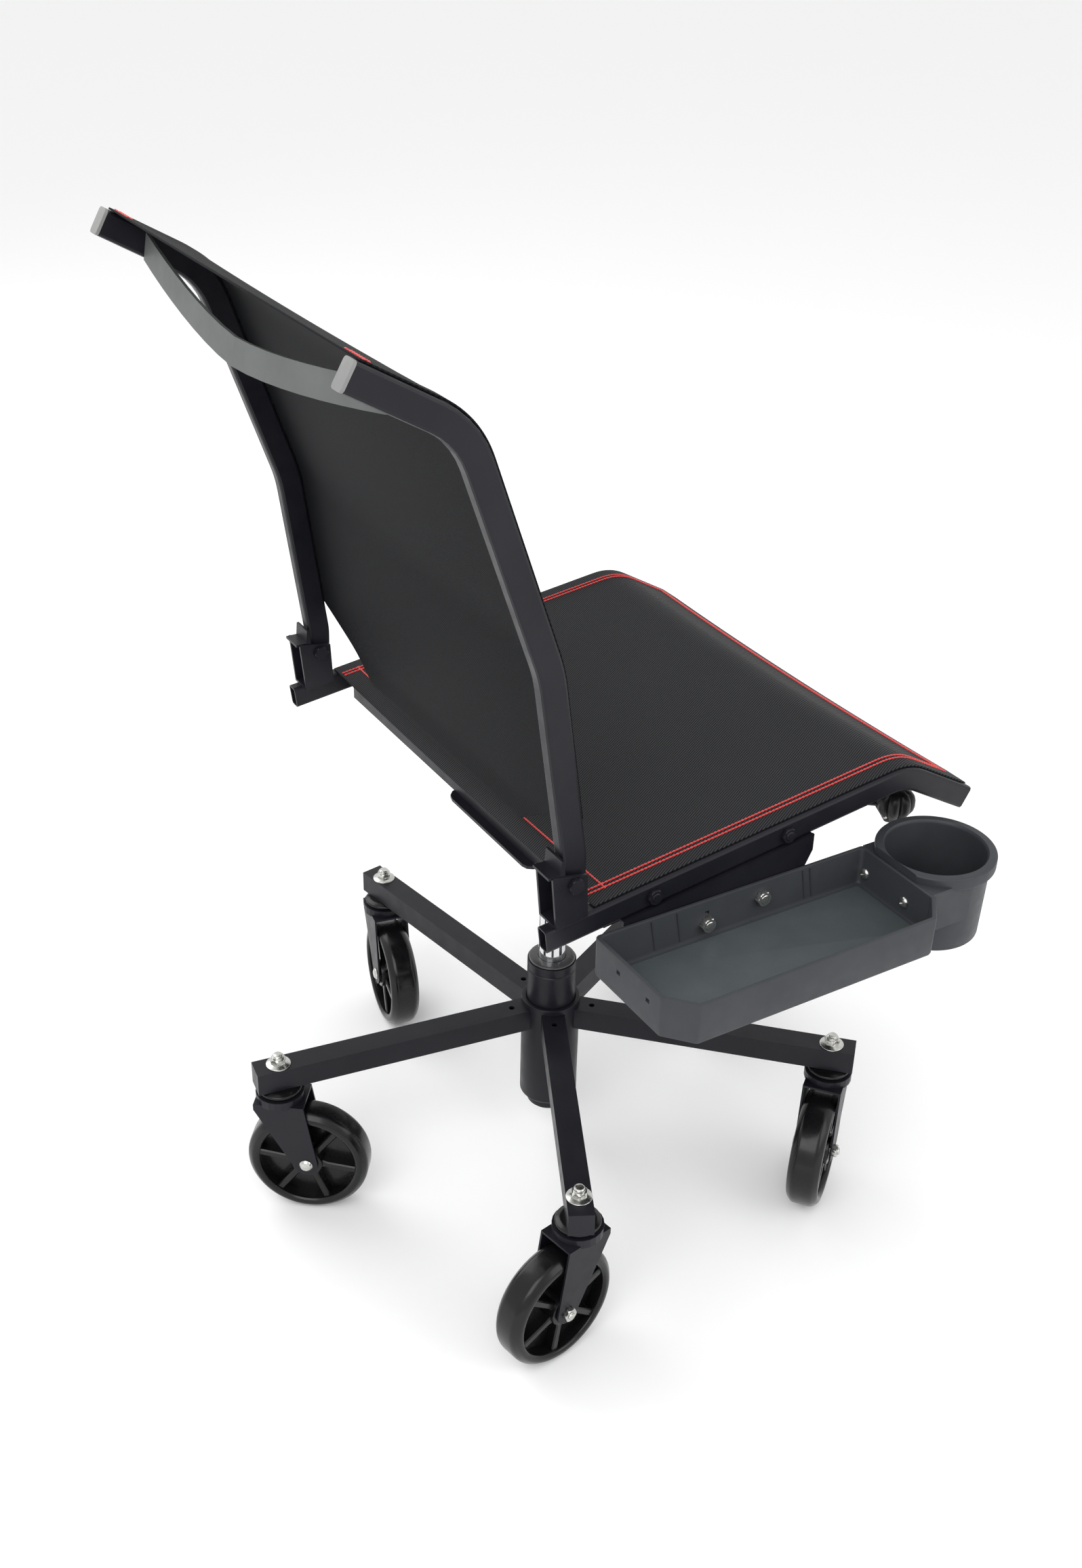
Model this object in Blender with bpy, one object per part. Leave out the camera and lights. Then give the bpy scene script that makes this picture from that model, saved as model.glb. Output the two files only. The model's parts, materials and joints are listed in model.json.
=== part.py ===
"""A rolling mechanic's seat: five-arm caster base, gas lift, mesh seat, folding back, tray and cup holder.

Metres, +Z up. While the pieces are made, the floor is z = 0, the lift stands on x = y = 0, the sitter
faces -Y and the tray is on the sitter's right, at -X. The last step moves the whole assembly so that
the middle of its bounding box stands over the origin.
"""

import math

import bmesh
import bpy
from mathutils import Vector

GAP = 0.0003  # left between pieces that touch
HOLE_CLEARANCE = 0.0004  # a hole's radius over that of the bolt or pin in it

# Base
HUB_RADIUS = 0.030
HUB_BOTTOM, HUB_TOP = 0.056, 0.179
HUB_CHAMFER = 0.0025
ARM_COUNT = 5
FIRST_ARM_DEG = 9.55
ARM_SIDE = 0.024
ARM_WALL = 0.002
ARM_TOP = 0.173
ARM_DRILLING_RADIUS = 0.003
ARM_DRILLING_PLACE = 0.0435
CASTER_CIRCLE = 0.290
ARM_END = CASTER_CIRCLE + 0.024

# Gas lift
CYLINDER_RADIUS = 0.025
CYLINDER_TAPER_RADIUS = 0.0243
CYLINDER_BORE = 0.0205
CYLINDER_BOTTOM, CYLINDER_TOP = 0.040, 0.2265
CYLINDER_FLOOR = 0.005
CRIMP_BELOW_TOP = 0.010
CRIMP_DEPTH = 0.0012
ROD_RADIUS = 0.014
BUSHING_DEPTH = 0.018
BUSHING_FLANGE = 0.0025
LIFT_TRAVEL = 0.130
PISTON_HEIGHT = 0.014
BUTTON_RADIUS = 0.004
BUTTON_LENGTH = 0.016
BUTTON_TRAVEL = 0.002

# Casters: the direction from each stem to its axle, in degrees
CASTER_DIRECTIONS_DEG = (169.0, 232.5, 100.5, 128.5, 150.0)
WHEEL_RADIUS = 0.0612
WHEEL_WIDTH = 0.0325
WHEEL_RIM = 0.0125
WHEEL_WEB = 0.012
WHEEL_HUB_RADIUS = 0.015
WHEEL_EDGE = 0.005
TRAIL = 0.0268
AXLE_RADIUS = 0.004
AXLE_HEAD_RADIUS = 0.0065
AXLE_HEAD = 0.0022
FORK_SHEET = 0.002
FORK_SIDE_GAP = 0.0012
FORK_TOP_HALF_LENGTH = 0.023
FORK_BOSS_RADIUS = 0.012
FORK_HEIGHT = 0.0735  # fork top above the axle
RACE_UPPER_RADIUS, RACE_LOWER_RADIUS = 0.021, 0.024
RACE_HEIGHT = 0.0065
SHANK_RADIUS = 0.0055
STEM_NUT_RADIUS = 0.0085
STEM_NUT_FLANGE_RADIUS = 0.0115
STEM_NUT_HEIGHT = 0.0075
STEM_HEAD_RADIUS = 0.009
STEM_HEAD = 0.0035

# Seat frame
SEAT_SLOPE = 0.13  # rise towards the front
RAIL_TOP_AT_AXIS = 0.4889
RAIL_OUTER_X = 0.2494
RAIL_WIDTH = 0.0128
RAIL_DEPTH = 0.022
RAIL_WALL = 0.0015
RAIL_REAR_Y = 0.1665
RAIL_CREST_Y = -0.2151
RAIL_FRONT = (-0.2945, 0.4713)
RAIL_BEND = 0.060
RAIL_BOLT_PLACES = ((0.0610, 0.4690), (-0.0774, 0.4870))
RAIL_BOLT_RADIUS = 0.003
CROSSBAR_DEPTH, CROSSBAR_HEIGHT = 0.018, 0.020
CROSSBAR_WALL = 0.002
CROSSBAR_DROP = 0.014  # crossbar top below the rail top
REAR_CROSSBAR_Y, FRONT_CROSSBAR_Y = 0.092, -0.075
PLATE_LEFT_X, PLATE_RIGHT_X = 0.024, -0.128
PLATE_OVERHANG = 0.017
PLATE_THICKNESS = 0.003
PLATE_CORNER = 0.012
PLATE_BOLT_INSET = 0.0145
PLATE_BOLT_RADIUS = 0.004
SOCKET_WALL = 0.004
SOCKET_LENGTH = 0.046
ROD_TOP = 0.440

# Release lever
LEVER_DIRECTION = Vector((-0.200, -0.250))
LEVER_RADIUS = 0.0035
LEVER_PIVOT_FROM_AXIS = 0.026
LEVER_OVERHANG = 0.006
LEVER_BEND_START, LEVER_BEND_END, LEVER_DROP = 0.150, 0.230, 0.006
LEVER_SIDE_GAP = 0.0006
LEVER_PIN_RADIUS = 0.0015
EAR_THICKNESS, EAR_LENGTH = 0.0025, 0.012
EAR_BELOW_PIN = 0.005
GRIP_RADIUS, GRIP_LOBE, GRIP_LOBES = 0.0170, 0.0018, 6
GRIP_LENGTH = 0.030
GRIP_GRASP = 0.018

# Back hinge and back frame
PIVOT_Y, PIVOT_Z = 0.1414, 0.5077
PIVOT_BOLT_RADIUS = 0.004
BOLT_HEAD_RADIUS, BOLT_HEAD = 0.0065, 0.004
BRACKET_SHEET = 0.0025
BRACKET_INNER_X = RAIL_OUTER_X - 0.0241
BRACKET_TOP_FRONT, BRACKET_TOP_REAR = (0.130, 0.514), (0.163, 0.5205)
BRACKET_FOOT_FRONT_Y, BRACKET_FOOT_REAR_Y = 0.128, 0.158
STOP_TOP = 0.533
STOP_LIP = 0.016
TUBE_WIDTH, TUBE_DEPTH, TUBE_WALL = 0.014, 0.023, 0.0015
TUBE_OUTER_X_LOW, TUBE_OUTER_X_HIGH = RAIL_OUTER_X - 0.0044, RAIL_OUTER_X - 0.0104
TUBE_LOW_Z, TUBE_HIGH_Z = 0.580, 0.955
TUBE_FRONT_LINE = ((0.1270, 0.4870), (0.1265, 0.5280), (0.1505, 0.6970), (0.2223, 0.9015), (0.3123, 0.9532))
TUBE_BENDS = (0.080, 0.150, 0.085)
CAP_THICKNESS, CAP_PLUG = 0.003, 0.012
CAP_CLEARANCE = 0.0004
UPPER_BAR_END = (0.2798, 0.9319)
UPPER_BAR_BOW = (0.0169, -0.0270)
UPPER_BAR_BOW_POWER = 1.5
UPPER_BAR_HEIGHT, UPPER_BAR_THICKNESS = 0.0225, 0.003
UPPER_BAR_LEAN_DEG = 10.5

# Fabric
FABRIC = 0.002
SEAT_EDGE_INSET = 0.004
SEAT_FRONT_HALF_WIDTH = RAIL_OUTER_X - 0.0094
SEAT_REAR_Y = 0.118
SEAT_FRONT_Y = -0.2887
BACK_EDGE_INSET = 0.004
BACK_BOTTOM_Z = 0.505
BACK_CORNER_HEIGHT, BACK_CORNER_INSET = 0.055, 0.090
BACK_TOP_CLEARANCE = 0.006

# Tray and cup holder
TRAY_INNER_X = RAIL_OUTER_X + 0.0031
TRAY_OUTER_X = TRAY_INNER_X + 0.120
TRAY_REAR_Y, TRAY_FRONT_Y = 0.121, -0.165
TRAY_CHAMFER_X, TRAY_CHAMFER_Y = 0.024, 0.021
TRAY_BOTTOM, TRAY_TOP = 0.412, 0.451
TRAY_WALL, TRAY_FLOOR = 0.004, 0.0035
TRAY_SLOTS_X = (TRAY_INNER_X + 0.0365, TRAY_INNER_X + 0.0785)
TRAY_SLOT = (0.005, 0.004)
TRAY_SLOT_BELOW_RIM = 0.012
TRAY_BOLT_PLACES = ((0.009, 0.428), (-0.049, 0.436))
TRAY_BOLT_RADIUS = 0.003
BRACKET_REAR_Y, BRACKET_FRONT_Y = 0.092, -0.106
BRACKET_BOTTOM_REAR, BRACKET_BOTTOM_FRONT = (0.052, 0.418), (-0.086, 0.424)
FLANGE_WIDTH = 0.014
BRACKET_END_HEIGHT = 0.016
CUP_X, CUP_Y = TRAY_INNER_X + 0.0425, -0.212
CUP_RADIUS_TOP, CUP_RADIUS_BOTTOM = 0.049, 0.047
CUP_RIM_RADIUS, CUP_RIM_HEIGHT = 0.054, 0.012
CUP_INNER_RADIUS = 0.045
CUP_TOP, CUP_BOTTOM, CUP_FLOOR = 0.458, 0.378, 0.003
CUP_BLOCK_TOP, CUP_BLOCK_BOTTOM = 0.450, 0.410
CUP_SCREWS_X, CUP_SCREW_Z = (CUP_X - 0.031, CUP_X + 0.021), 0.428
CUP_SCREW_RADIUS, CUP_SCREW_REACH = 0.002, 0.010

ROUND = 24  # sides of a round piece
BOLT_ROUND = 12
ARC_STEPS = 5

# Looks: colour, roughness, metallic
BLACK_STEEL = ((0.022, 0.023, 0.026), 0.35, 0.6)
GREY_STEEL = ((0.16, 0.165, 0.17), 0.40, 0.6)
ZINC = ((0.62, 0.61, 0.57), 0.35, 1.0)
CHROME = ((0.80, 0.81, 0.82), 0.08, 1.0)
GREY_PLASTIC = ((0.42, 0.42, 0.41), 0.50, 0.0)
SLATE_PLASTIC = ((0.060, 0.068, 0.070), 0.55, 0.0)
WHEEL_PLASTIC = ((0.014, 0.014, 0.015), 0.22, 0.0)
MESH_FABRIC = ((0.045, 0.046, 0.050), 0.85, 0.0)


# --- Shapes -------------------------------------------------------------------------------------------


def closed_mesh(rings, holes=None, loop=False):
    """Rings of points joined in order into one closed body. Holes are the rings of a bore right through."""
    bm = bmesh.new()
    outer = [[bm.verts.new(point) for point in ring] for ring in rings]
    inner = [[bm.verts.new(point) for point in ring] for ring in holes or []]
    runs = [outer, inner] if inner else [outer]
    for run in runs:
        for low, high in zip(run, run[1:] + run[:1] if loop else run[1:]):
            join_rings(bm, low, high)
    if not loop:
        for end in (0, -1):
            if inner:
                join_rings(bm, outer[end], inner[end])
            elif len(outer[end]) > 2:
                bm.faces.new(outer[end])
    return facing_out(bm)


def facing_out(bm):
    """The same closed mesh, with every face outwards."""
    bmesh.ops.recalc_face_normals(bm, faces=bm.faces)
    if bm.calc_volume(signed=True) < 0:
        bmesh.ops.reverse_faces(bm, faces=bm.faces)
    return bm


def join_rings(bm, low, high):
    """Faces between two rings, one of which may be a single point."""
    count = max(len(low), len(high))
    for i in range(count):
        j = (i + 1) % count
        corners = (low[i % len(low)], low[j % len(low)], high[j % len(high)], high[i % len(high)])
        bm.faces.new(list(dict.fromkeys(corners)))


def circle(radius, height, sides=ROUND, flats=0):
    """A ring round Z. With flats, radius is to the flats of a polygon with that many sides."""
    if radius == 0:
        return [(0.0, 0.0, height)]
    points = []
    for i in range(sides):
        angle = math.tau * i / sides
        reach = radius
        if flats:
            half = math.pi / flats
            reach = radius / math.cos((angle + half) % (2 * half) - half)
        points.append((reach * math.cos(angle), reach * math.sin(angle), height))
    return points


def turned(profile, sides=ROUND):
    """A solid turned about Z. The profile runs from axis to axis, or closes on itself as a ring."""
    rings = [circle(radius, height, sides) for radius, height in profile]
    return closed_mesh(rings, loop=profile[0][0] > 0)


def fastener(spans):
    """A bolt along Z from (radius, bottom, top, flats) spans, low to high. Flats of 6 is a hexagon."""
    rings = [circle(0, spans[0][1])]
    for radius, bottom, top, flats in spans:
        rings += [circle(radius, bottom, BOLT_ROUND, flats), circle(radius, top, BOLT_ROUND, flats)]
    return closed_mesh(rings + [circle(0, spans[-1][2])])


PLACE = {
    "X": lambda u, v, w: (w, u, v),
    "Y": lambda u, v, w: (u, w, v),
    "Z": lambda u, v, w: (u, v, w),
}


def prism(outline, low, high, along="Z"):
    """An outline given in the other two axes, in their order, run along one axis."""
    return closed_mesh([[PLACE[along](u, v, w) for u, v in outline] for w in (low, high)])


def box(x_range, y_range, z_range):
    """A block between three pairs of limits."""
    (x0, x1), (y0, y1) = sorted(x_range), sorted(y_range)
    return prism(((x0, y0), (x1, y0), (x1, y1), (x0, y1)), *sorted(z_range))


def rod_cutter(radius, low, high, along, at, sides=BOLT_ROUND):
    """A round bar along X, Y or Z through a point given in the other two axes."""
    outline = [(at[0] + x, at[1] + y) for x, y, _ in circle(radius, 0, sides)]
    return prism(outline, low, high, along)


def filleted(points, radii, steps=ARC_STEPS):
    """An open line through 2D points, with each inner corner made an arc of its own radius."""
    line = [Vector(points[0])]
    for before, corner, after, radius in zip(points, points[1:], points[2:], radii):
        line += corner_arc(Vector(before), Vector(corner), Vector(after), radius, steps)
    return line + [Vector(points[-1])]


def corner_arc(before, corner, after, radius, steps):
    """Points of the arc that rounds one corner."""
    into, out = (corner - before).normalized(), (after - corner).normalized()
    turn = into.angle_signed(out)
    reach = radius * math.tan(abs(turn) / 2)
    start = corner - into * reach
    side = Vector((-into.y, into.x)) * (-1 if turn > 0 else 1)
    centre = start + side * radius
    sweep = -turn
    arc = []
    for i in range(steps + 1):
        angle = sweep * i / steps
        spoke = start - centre
        arc.append(centre + Vector((
            spoke.x * math.cos(angle) - spoke.y * math.sin(angle),
            spoke.x * math.sin(angle) + spoke.y * math.cos(angle),
        )))
    return arc


def rounded(outline, radius, steps=3):
    """A closed outline with every corner rounded."""
    count = len(outline)
    points = []
    for i, corner in enumerate(outline):
        before, after = outline[i - 1], outline[(i + 1) % count]
        points += corner_arc(Vector(before), Vector(corner), Vector(after), radius, steps)
    return points


def normals(line, side):
    """The unit normal at each point of a line, on its left for side 1 and on its right for side -1."""
    result = []
    for i, _ in enumerate(line):
        along = line[min(i + 1, len(line) - 1)] - line[max(i - 1, 0)]
        along.normalize()
        result.append(Vector((-along.y, along.x)) * side)
    return result


def box_section(width, depth, corner):
    """A rounded rectangle, from -width/2 to width/2 and from 0 to depth."""
    half = width / 2
    outline = ((-half, 0), (half, 0), (half, depth), (-half, depth))
    return rounded(outline, corner, steps=2)


def bent_tube(face_line, inward, centre_x, width, depth, wall):
    """A hollow rectangular tube with open ends, bent in the YZ plane, whose face follows a line."""
    corner = wall * 1.8
    outer = box_section(width, depth, corner)
    inner = [(a, b + wall) for a, b in box_section(width - 2 * wall, depth - 2 * wall, corner - wall)]
    rings = [[], []]
    for point, normal in zip(face_line, inward):
        for run, section in zip(rings, (outer, inner)):
            run.append([(centre_x(point.y) + a, *(point + normal * b)) for a, b in section])
    return closed_mesh(*rings)


def shear_with_seat(bm):
    """Turns level work parallel to the seat rails."""
    for vert in bm.verts:
        vert.co.z -= SEAT_SLOPE * vert.co.y


# --- Objects ------------------------------------------------------------------------------------------


def clear_scene():
    """Removes what the file opened with."""
    for obj in list(bpy.data.objects):
        bpy.data.objects.remove(obj, do_unlink=True)


def empty(name, parent=None, location=(0, 0, 0), turn_deg=0.0):
    """A frame that pieces hang from, with its origin on their joint's axis."""
    obj = bpy.data.objects.new(name, None)
    bpy.context.scene.collection.objects.link(obj)
    obj.parent = parent
    obj.location = location
    obj.rotation_euler.z = math.radians(turn_deg)
    return obj


def add(name, bm, look, parent, location=(0, 0, 0), turn_deg=0.0):
    """One named piece with its own material. The mesh is in the piece's own frame."""
    mesh = bpy.data.meshes.new(name)
    bm.to_mesh(mesh)
    bm.free()
    mesh.shade_smooth()
    mesh.set_sharp_from_angle(angle=math.radians(35))
    obj = bpy.data.objects.new(name, mesh)
    bpy.context.scene.collection.objects.link(obj)
    obj.parent = parent
    obj.location = location
    obj.rotation_euler.z = math.radians(turn_deg)
    colour, roughness, metallic = look
    material = bpy.data.materials.new(name)
    material.use_nodes = True
    shader = material.node_tree.nodes["Principled BSDF"]
    shader.inputs["Base Color"].default_value = (*colour, 1)
    shader.inputs["Roughness"].default_value = roughness
    shader.inputs["Metallic"].default_value = metallic
    mesh.materials.append(material)
    return obj


def combine(piece, bm, operation):
    """Adds to or cuts from a piece with a mesh in the piece's own frame."""
    name = f"{piece.name}_{operation.lower()}_{len(piece.modifiers) + 1}"
    mesh = bpy.data.meshes.new(name)
    bm.to_mesh(mesh)
    bm.free()
    tool = bpy.data.objects.new(name, mesh)
    bpy.context.scene.collection.objects.link(tool)
    tool.parent = piece
    tool.hide_render = True
    tool.display_type = "WIRE"
    modifier = piece.modifiers.new(name, "BOOLEAN")
    modifier.operation = operation
    modifier.solver = "EXACT"
    modifier.object = tool


def cut(piece, bm):
    """Takes a shape away."""
    combine(piece, bm, "DIFFERENCE")


def fuse(piece, bm):
    """Adds a shape that overlaps the piece."""
    combine(piece, bm, "UNION")


def moved(bm, offset):
    """The same mesh, shifted."""
    bmesh.ops.translate(bm, vec=Vector(offset), verts=bm.verts)
    return bm


def aim(bm, axis):
    """Turns a mesh made along Z so that it runs along X or Y."""
    for vert in bm.verts:
        vert.co = Vector(PLACE[axis](*vert.co))
    return facing_out(bm)


# --- Base and gas lift --------------------------------------------------------------------------------


def cylinder_radius_at(height):
    """The gas cylinder's outside: straight above the hub and tapering inside it."""
    share = min(max((HUB_TOP - height) / (HUB_TOP - HUB_BOTTOM), 0), 1)
    return CYLINDER_RADIUS + (CYLINDER_TAPER_RADIUS - CYLINDER_RADIUS) * share


def build_base(root):
    """The hub and its five arms."""
    bore_low = cylinder_radius_at(HUB_BOTTOM) + GAP
    bore_high = cylinder_radius_at(HUB_TOP) + GAP
    profile = (
        (HUB_RADIUS - HUB_CHAMFER, HUB_BOTTOM),
        (HUB_RADIUS, HUB_BOTTOM + HUB_CHAMFER),
        (HUB_RADIUS, HUB_TOP),
        (bore_high, HUB_TOP),
        (bore_low, HUB_BOTTOM),
    )
    add("hub_tube", turned(profile), BLACK_STEEL, root)

    half, bottom = ARM_SIDE / 2, ARM_TOP - ARM_SIDE
    inner_half = half - ARM_WALL
    outer = ((-half, bottom), (half, bottom), (half, ARM_TOP), (-half, ARM_TOP))
    inner_low, inner_high = bottom + ARM_WALL, ARM_TOP - ARM_WALL
    inner = (
        (-inner_half, inner_low), (inner_half, inner_low),
        (inner_half, inner_high), (-inner_half, inner_high),
    )
    start = HUB_RADIUS - ARM_WALL
    for i in range(ARM_COUNT):
        turn = FIRST_ARM_DEG + i * 360 / ARM_COUNT
        beam = prism(outer, start - half, ARM_END, "X")
        arm = add(f"base_arm_{i + 1}", beam, BLACK_STEEL, root, turn_deg=turn)
        cut(arm, prism(inner, start - ARM_SIDE, ARM_END - ARM_WALL, "X"))
        cut(arm, turned_bar(HUB_RADIUS + GAP, bottom - ARM_WALL, ARM_TOP + ARM_WALL))
        shank_hole = rod_cutter(
            SHANK_RADIUS + HOLE_CLEARANCE, bottom - ARM_WALL, ARM_TOP + ARM_WALL, "Z", (CASTER_CIRCLE, 0))
        cut(arm, shank_hole)
        cut(arm, rod_cutter(
            ARM_DRILLING_RADIUS, inner_high - ARM_WALL, ARM_TOP + ARM_WALL, "Z", (ARM_DRILLING_PLACE, 0)))


def turned_bar(radius, low, high):
    """A plain round bar on the Z axis."""
    return turned(((0, low), (radius, low), (radius, high), (0, high)))


def build_lift(root, lift):
    """The gas cylinder in the hub, and the rod that carries the seat."""
    low, top = CYLINDER_BOTTOM, CYLINDER_TOP
    end_round = CYLINDER_FLOOR
    shoulder = HUB_BOTTOM - end_round
    crimp = top - CRIMP_BELOW_TOP
    narrow = CYLINDER_TAPER_RADIUS - 0.002
    profile = [(0, low), (narrow - end_round, low), (narrow, low + end_round), (narrow, shoulder)]
    profile += [(cylinder_radius_at(HUB_BOTTOM), HUB_BOTTOM), (cylinder_radius_at(HUB_TOP), HUB_TOP)]
    profile += [(CYLINDER_RADIUS, crimp - CRIMP_DEPTH), (CYLINDER_RADIUS - CRIMP_DEPTH, crimp)]
    profile += [(CYLINDER_RADIUS, crimp + CRIMP_DEPTH), (CYLINDER_RADIUS, top)]
    profile += [(CYLINDER_BORE, top), (CYLINDER_BORE, low + CYLINDER_FLOOR), (0, low + CYLINDER_FLOOR)]
    add("gas_cylinder", turned(profile), BLACK_STEEL, root)

    flange_low, flange_radius = top + GAP, CYLINDER_RADIUS - CRIMP_DEPTH
    sleeve_radius, slide_radius = CYLINDER_BORE - GAP, ROD_RADIUS + GAP
    profile = (
        (sleeve_radius, top - BUSHING_DEPTH),
        (sleeve_radius, flange_low),
        (flange_radius, flange_low),
        (flange_radius, flange_low + BUSHING_FLANGE),
        (slide_radius, flange_low + BUSHING_FLANGE),
        (slide_radius, top - BUSHING_DEPTH),
    )
    add("cylinder_bushing", turned(profile), GREY_PLASTIC, root)

    rod_low = low + CYLINDER_FLOOR + LIFT_TRAVEL + 2 * CRIMP_DEPTH
    piston_radius = CYLINDER_BORE - GAP
    profile = (
        (0, rod_low),
        (piston_radius, rod_low),
        (piston_radius, rod_low + PISTON_HEIGHT),
        (ROD_RADIUS, rod_low + PISTON_HEIGHT),
        (ROD_RADIUS, ROD_TOP),
        (BUTTON_RADIUS + GAP, ROD_TOP),
        (BUTTON_RADIUS + GAP, button_bottom() - BUTTON_TRAVEL - GAP),
        (0, button_bottom() - BUTTON_TRAVEL - GAP),
    )
    add("piston_rod", turned(profile), CHROME, lift)


def button_top():
    """Just under the lever's inner end."""
    return lever_height() - LEVER_RADIUS - GAP


def button_bottom():
    """Inside the rod."""
    return button_top() - BUTTON_LENGTH


def lever_height():
    """The lever's centre at its pivot: under the plate, with room to tip."""
    return plate_top() - PLATE_THICKNESS - LEVER_RADIUS - 0.0012


def plate_top():
    """The lift plate's upper face on the lift axis."""
    return RAIL_TOP_AT_AXIS - CROSSBAR_DROP - CROSSBAR_HEIGHT - GAP


def build_button(button):
    """The gas valve's button, on the rod's axis."""
    add("release_button", turned_bar(BUTTON_RADIUS, 0, BUTTON_LENGTH), ZINC, button)


# --- Casters ------------------------------------------------------------------------------------------


def build_caster(index, root, arm_deg, direction_deg):
    """A stem fixed through the arm, a swivelling fork, an axle bolt and a wheel."""
    arm = math.radians(arm_deg)
    place = (CASTER_CIRCLE * math.cos(arm), CASTER_CIRCLE * math.sin(arm), 0)
    arm_bottom = ARM_TOP - ARM_SIDE
    race_top = arm_bottom - GAP
    fork_top = WHEEL_RADIUS + FORK_HEIGHT
    head_top = fork_top - FORK_SHEET - GAP
    race_joint = race_top - RACE_HEIGHT
    stem = turned((
        (0, head_top - STEM_HEAD),
        (STEM_HEAD_RADIUS, head_top - STEM_HEAD),
        (STEM_HEAD_RADIUS, head_top),
        (SHANK_RADIUS, head_top),
        (SHANK_RADIUS, race_joint),
        (RACE_UPPER_RADIUS, race_joint),
        (RACE_UPPER_RADIUS, race_top),
        (SHANK_RADIUS, race_top),
        (SHANK_RADIUS, ARM_TOP + GAP),
        (STEM_NUT_FLANGE_RADIUS, ARM_TOP + GAP),
        (STEM_NUT_FLANGE_RADIUS, ARM_TOP + GAP + FORK_SHEET),
        (STEM_NUT_RADIUS, ARM_TOP + GAP + FORK_SHEET),
        (STEM_NUT_RADIUS, ARM_TOP + STEM_NUT_HEIGHT),
        (SHANK_RADIUS, ARM_TOP + STEM_NUT_HEIGHT),
        (SHANK_RADIUS, ARM_TOP + STEM_NUT_HEIGHT + FORK_SHEET),
        (0, ARM_TOP + STEM_NUT_HEIGHT + FORK_SHEET),
    ), BOLT_ROUND)
    add(f"caster_stem_{index}", stem, ZINC, root, place)

    swivel = empty(f"swivel_{index}", root, place, direction_deg)
    build_fork(index, swivel, fork_top, race_joint)

    axle = empty(f"axle_{index}", swivel, (TRAIL, 0, WHEEL_RADIUS))
    outer = fork_outer_half()
    head = outer + GAP
    bolt = fastener((
        (AXLE_HEAD_RADIUS, -head - AXLE_HEAD, -head, 6),
        (AXLE_RADIUS, -head, head, 0),
        (AXLE_HEAD_RADIUS, head, head + AXLE_HEAD, 6),
    ))
    add(f"axle_bolt_{index}", aim(bolt, "Y"), ZINC, axle)
    build_wheel(index, axle)


def fork_outer_half():
    """Half the fork's outer width."""
    return WHEEL_WIDTH / 2 + FORK_SIDE_GAP + FORK_SHEET


def build_fork(index, swivel, fork_top, race_joint):
    """A folded sheet fork with its half of the swivel race on top."""
    outer, inner = fork_outer_half(), fork_outer_half() - FORK_SHEET
    under_plate = fork_top - FORK_SHEET
    lowest = WHEEL_RADIUS - FORK_BOSS_RADIUS
    channel = (
        (-outer, lowest), (-inner, lowest), (-inner, under_plate), (inner, under_plate),
        (inner, lowest), (outer, lowest), (outer, fork_top), (-outer, fork_top),
    )
    fork = add(
        f"caster_fork_{index}",
        prism(channel, -FORK_TOP_HALF_LENGTH, TRAIL + FORK_BOSS_RADIUS, "X"), BLACK_STEEL, swivel)
    boss = [
        (TRAIL + FORK_BOSS_RADIUS * math.cos(a), WHEEL_RADIUS + FORK_BOSS_RADIUS * math.sin(a))
        for a in (math.radians(15 - 165 * step / 8) for step in range(9))
    ]
    side = [(-FORK_TOP_HALF_LENGTH, fork_top), (TRAIL, fork_top), *boss]
    side.append((-FORK_TOP_HALF_LENGTH, fork_top - RACE_HEIGHT))
    keep = moved_outline_slightly(side)
    combine(fork, prism(keep, -outer * 2, outer * 2, "Y"), "INTERSECT")
    fuse(fork, moved(turned_bar(RACE_LOWER_RADIUS, 0, race_joint - GAP - under_plate), (0, 0, under_plate)))
    cut(fork, rod_cutter(
        SHANK_RADIUS + HOLE_CLEARANCE, under_plate - FORK_SHEET, race_joint + FORK_SHEET, "Z", (0, 0)))
    cut(fork, rod_cutter(AXLE_RADIUS + HOLE_CLEARANCE, -outer * 2, outer * 2, "Y", (TRAIL, WHEEL_RADIUS)))


def moved_outline_slightly(outline):
    """Lifts the top edge of a fork's outline clear of the plate, so that no faces coincide."""
    top = max(z for _, z in outline)
    return [(u, z + FORK_SHEET if z == top else z) for u, z in outline]


def build_wheel(index, axle):
    """A wheel with a thin web between hub and rim."""
    half, edge = WHEEL_WIDTH / 2, WHEEL_EDGE
    rim_inner, web = WHEEL_RADIUS - WHEEL_RIM, WHEEL_WEB / 2
    bore = AXLE_RADIUS + HOLE_CLEARANCE
    side = [
        (bore, half), (WHEEL_HUB_RADIUS, half), (WHEEL_HUB_RADIUS, web),
        (rim_inner, web), (rim_inner, half), (WHEEL_RADIUS - edge, half), (WHEEL_RADIUS, half - edge),
    ]
    profile = [(radius, -height) for radius, height in side] + list(reversed(side))
    wheel = aim(turned(profile, 2 * ROUND), "Y")
    add(f"wheel_{index}", wheel, WHEEL_PLASTIC, axle)


# --- Seat frame ---------------------------------------------------------------------------------------


def rail_top_z(y):
    """The rail's straight top line."""
    return RAIL_TOP_AT_AXIS - SEAT_SLOPE * y


def rail_line(start_y=RAIL_REAR_Y, end=RAIL_FRONT):
    """The rail's top face in the YZ plane, from the rear to the front."""
    crest = (RAIL_CREST_Y, rail_top_z(RAIL_CREST_Y))
    return filleted(((start_y, rail_top_z(start_y)), crest, end), (RAIL_BEND,))


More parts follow.
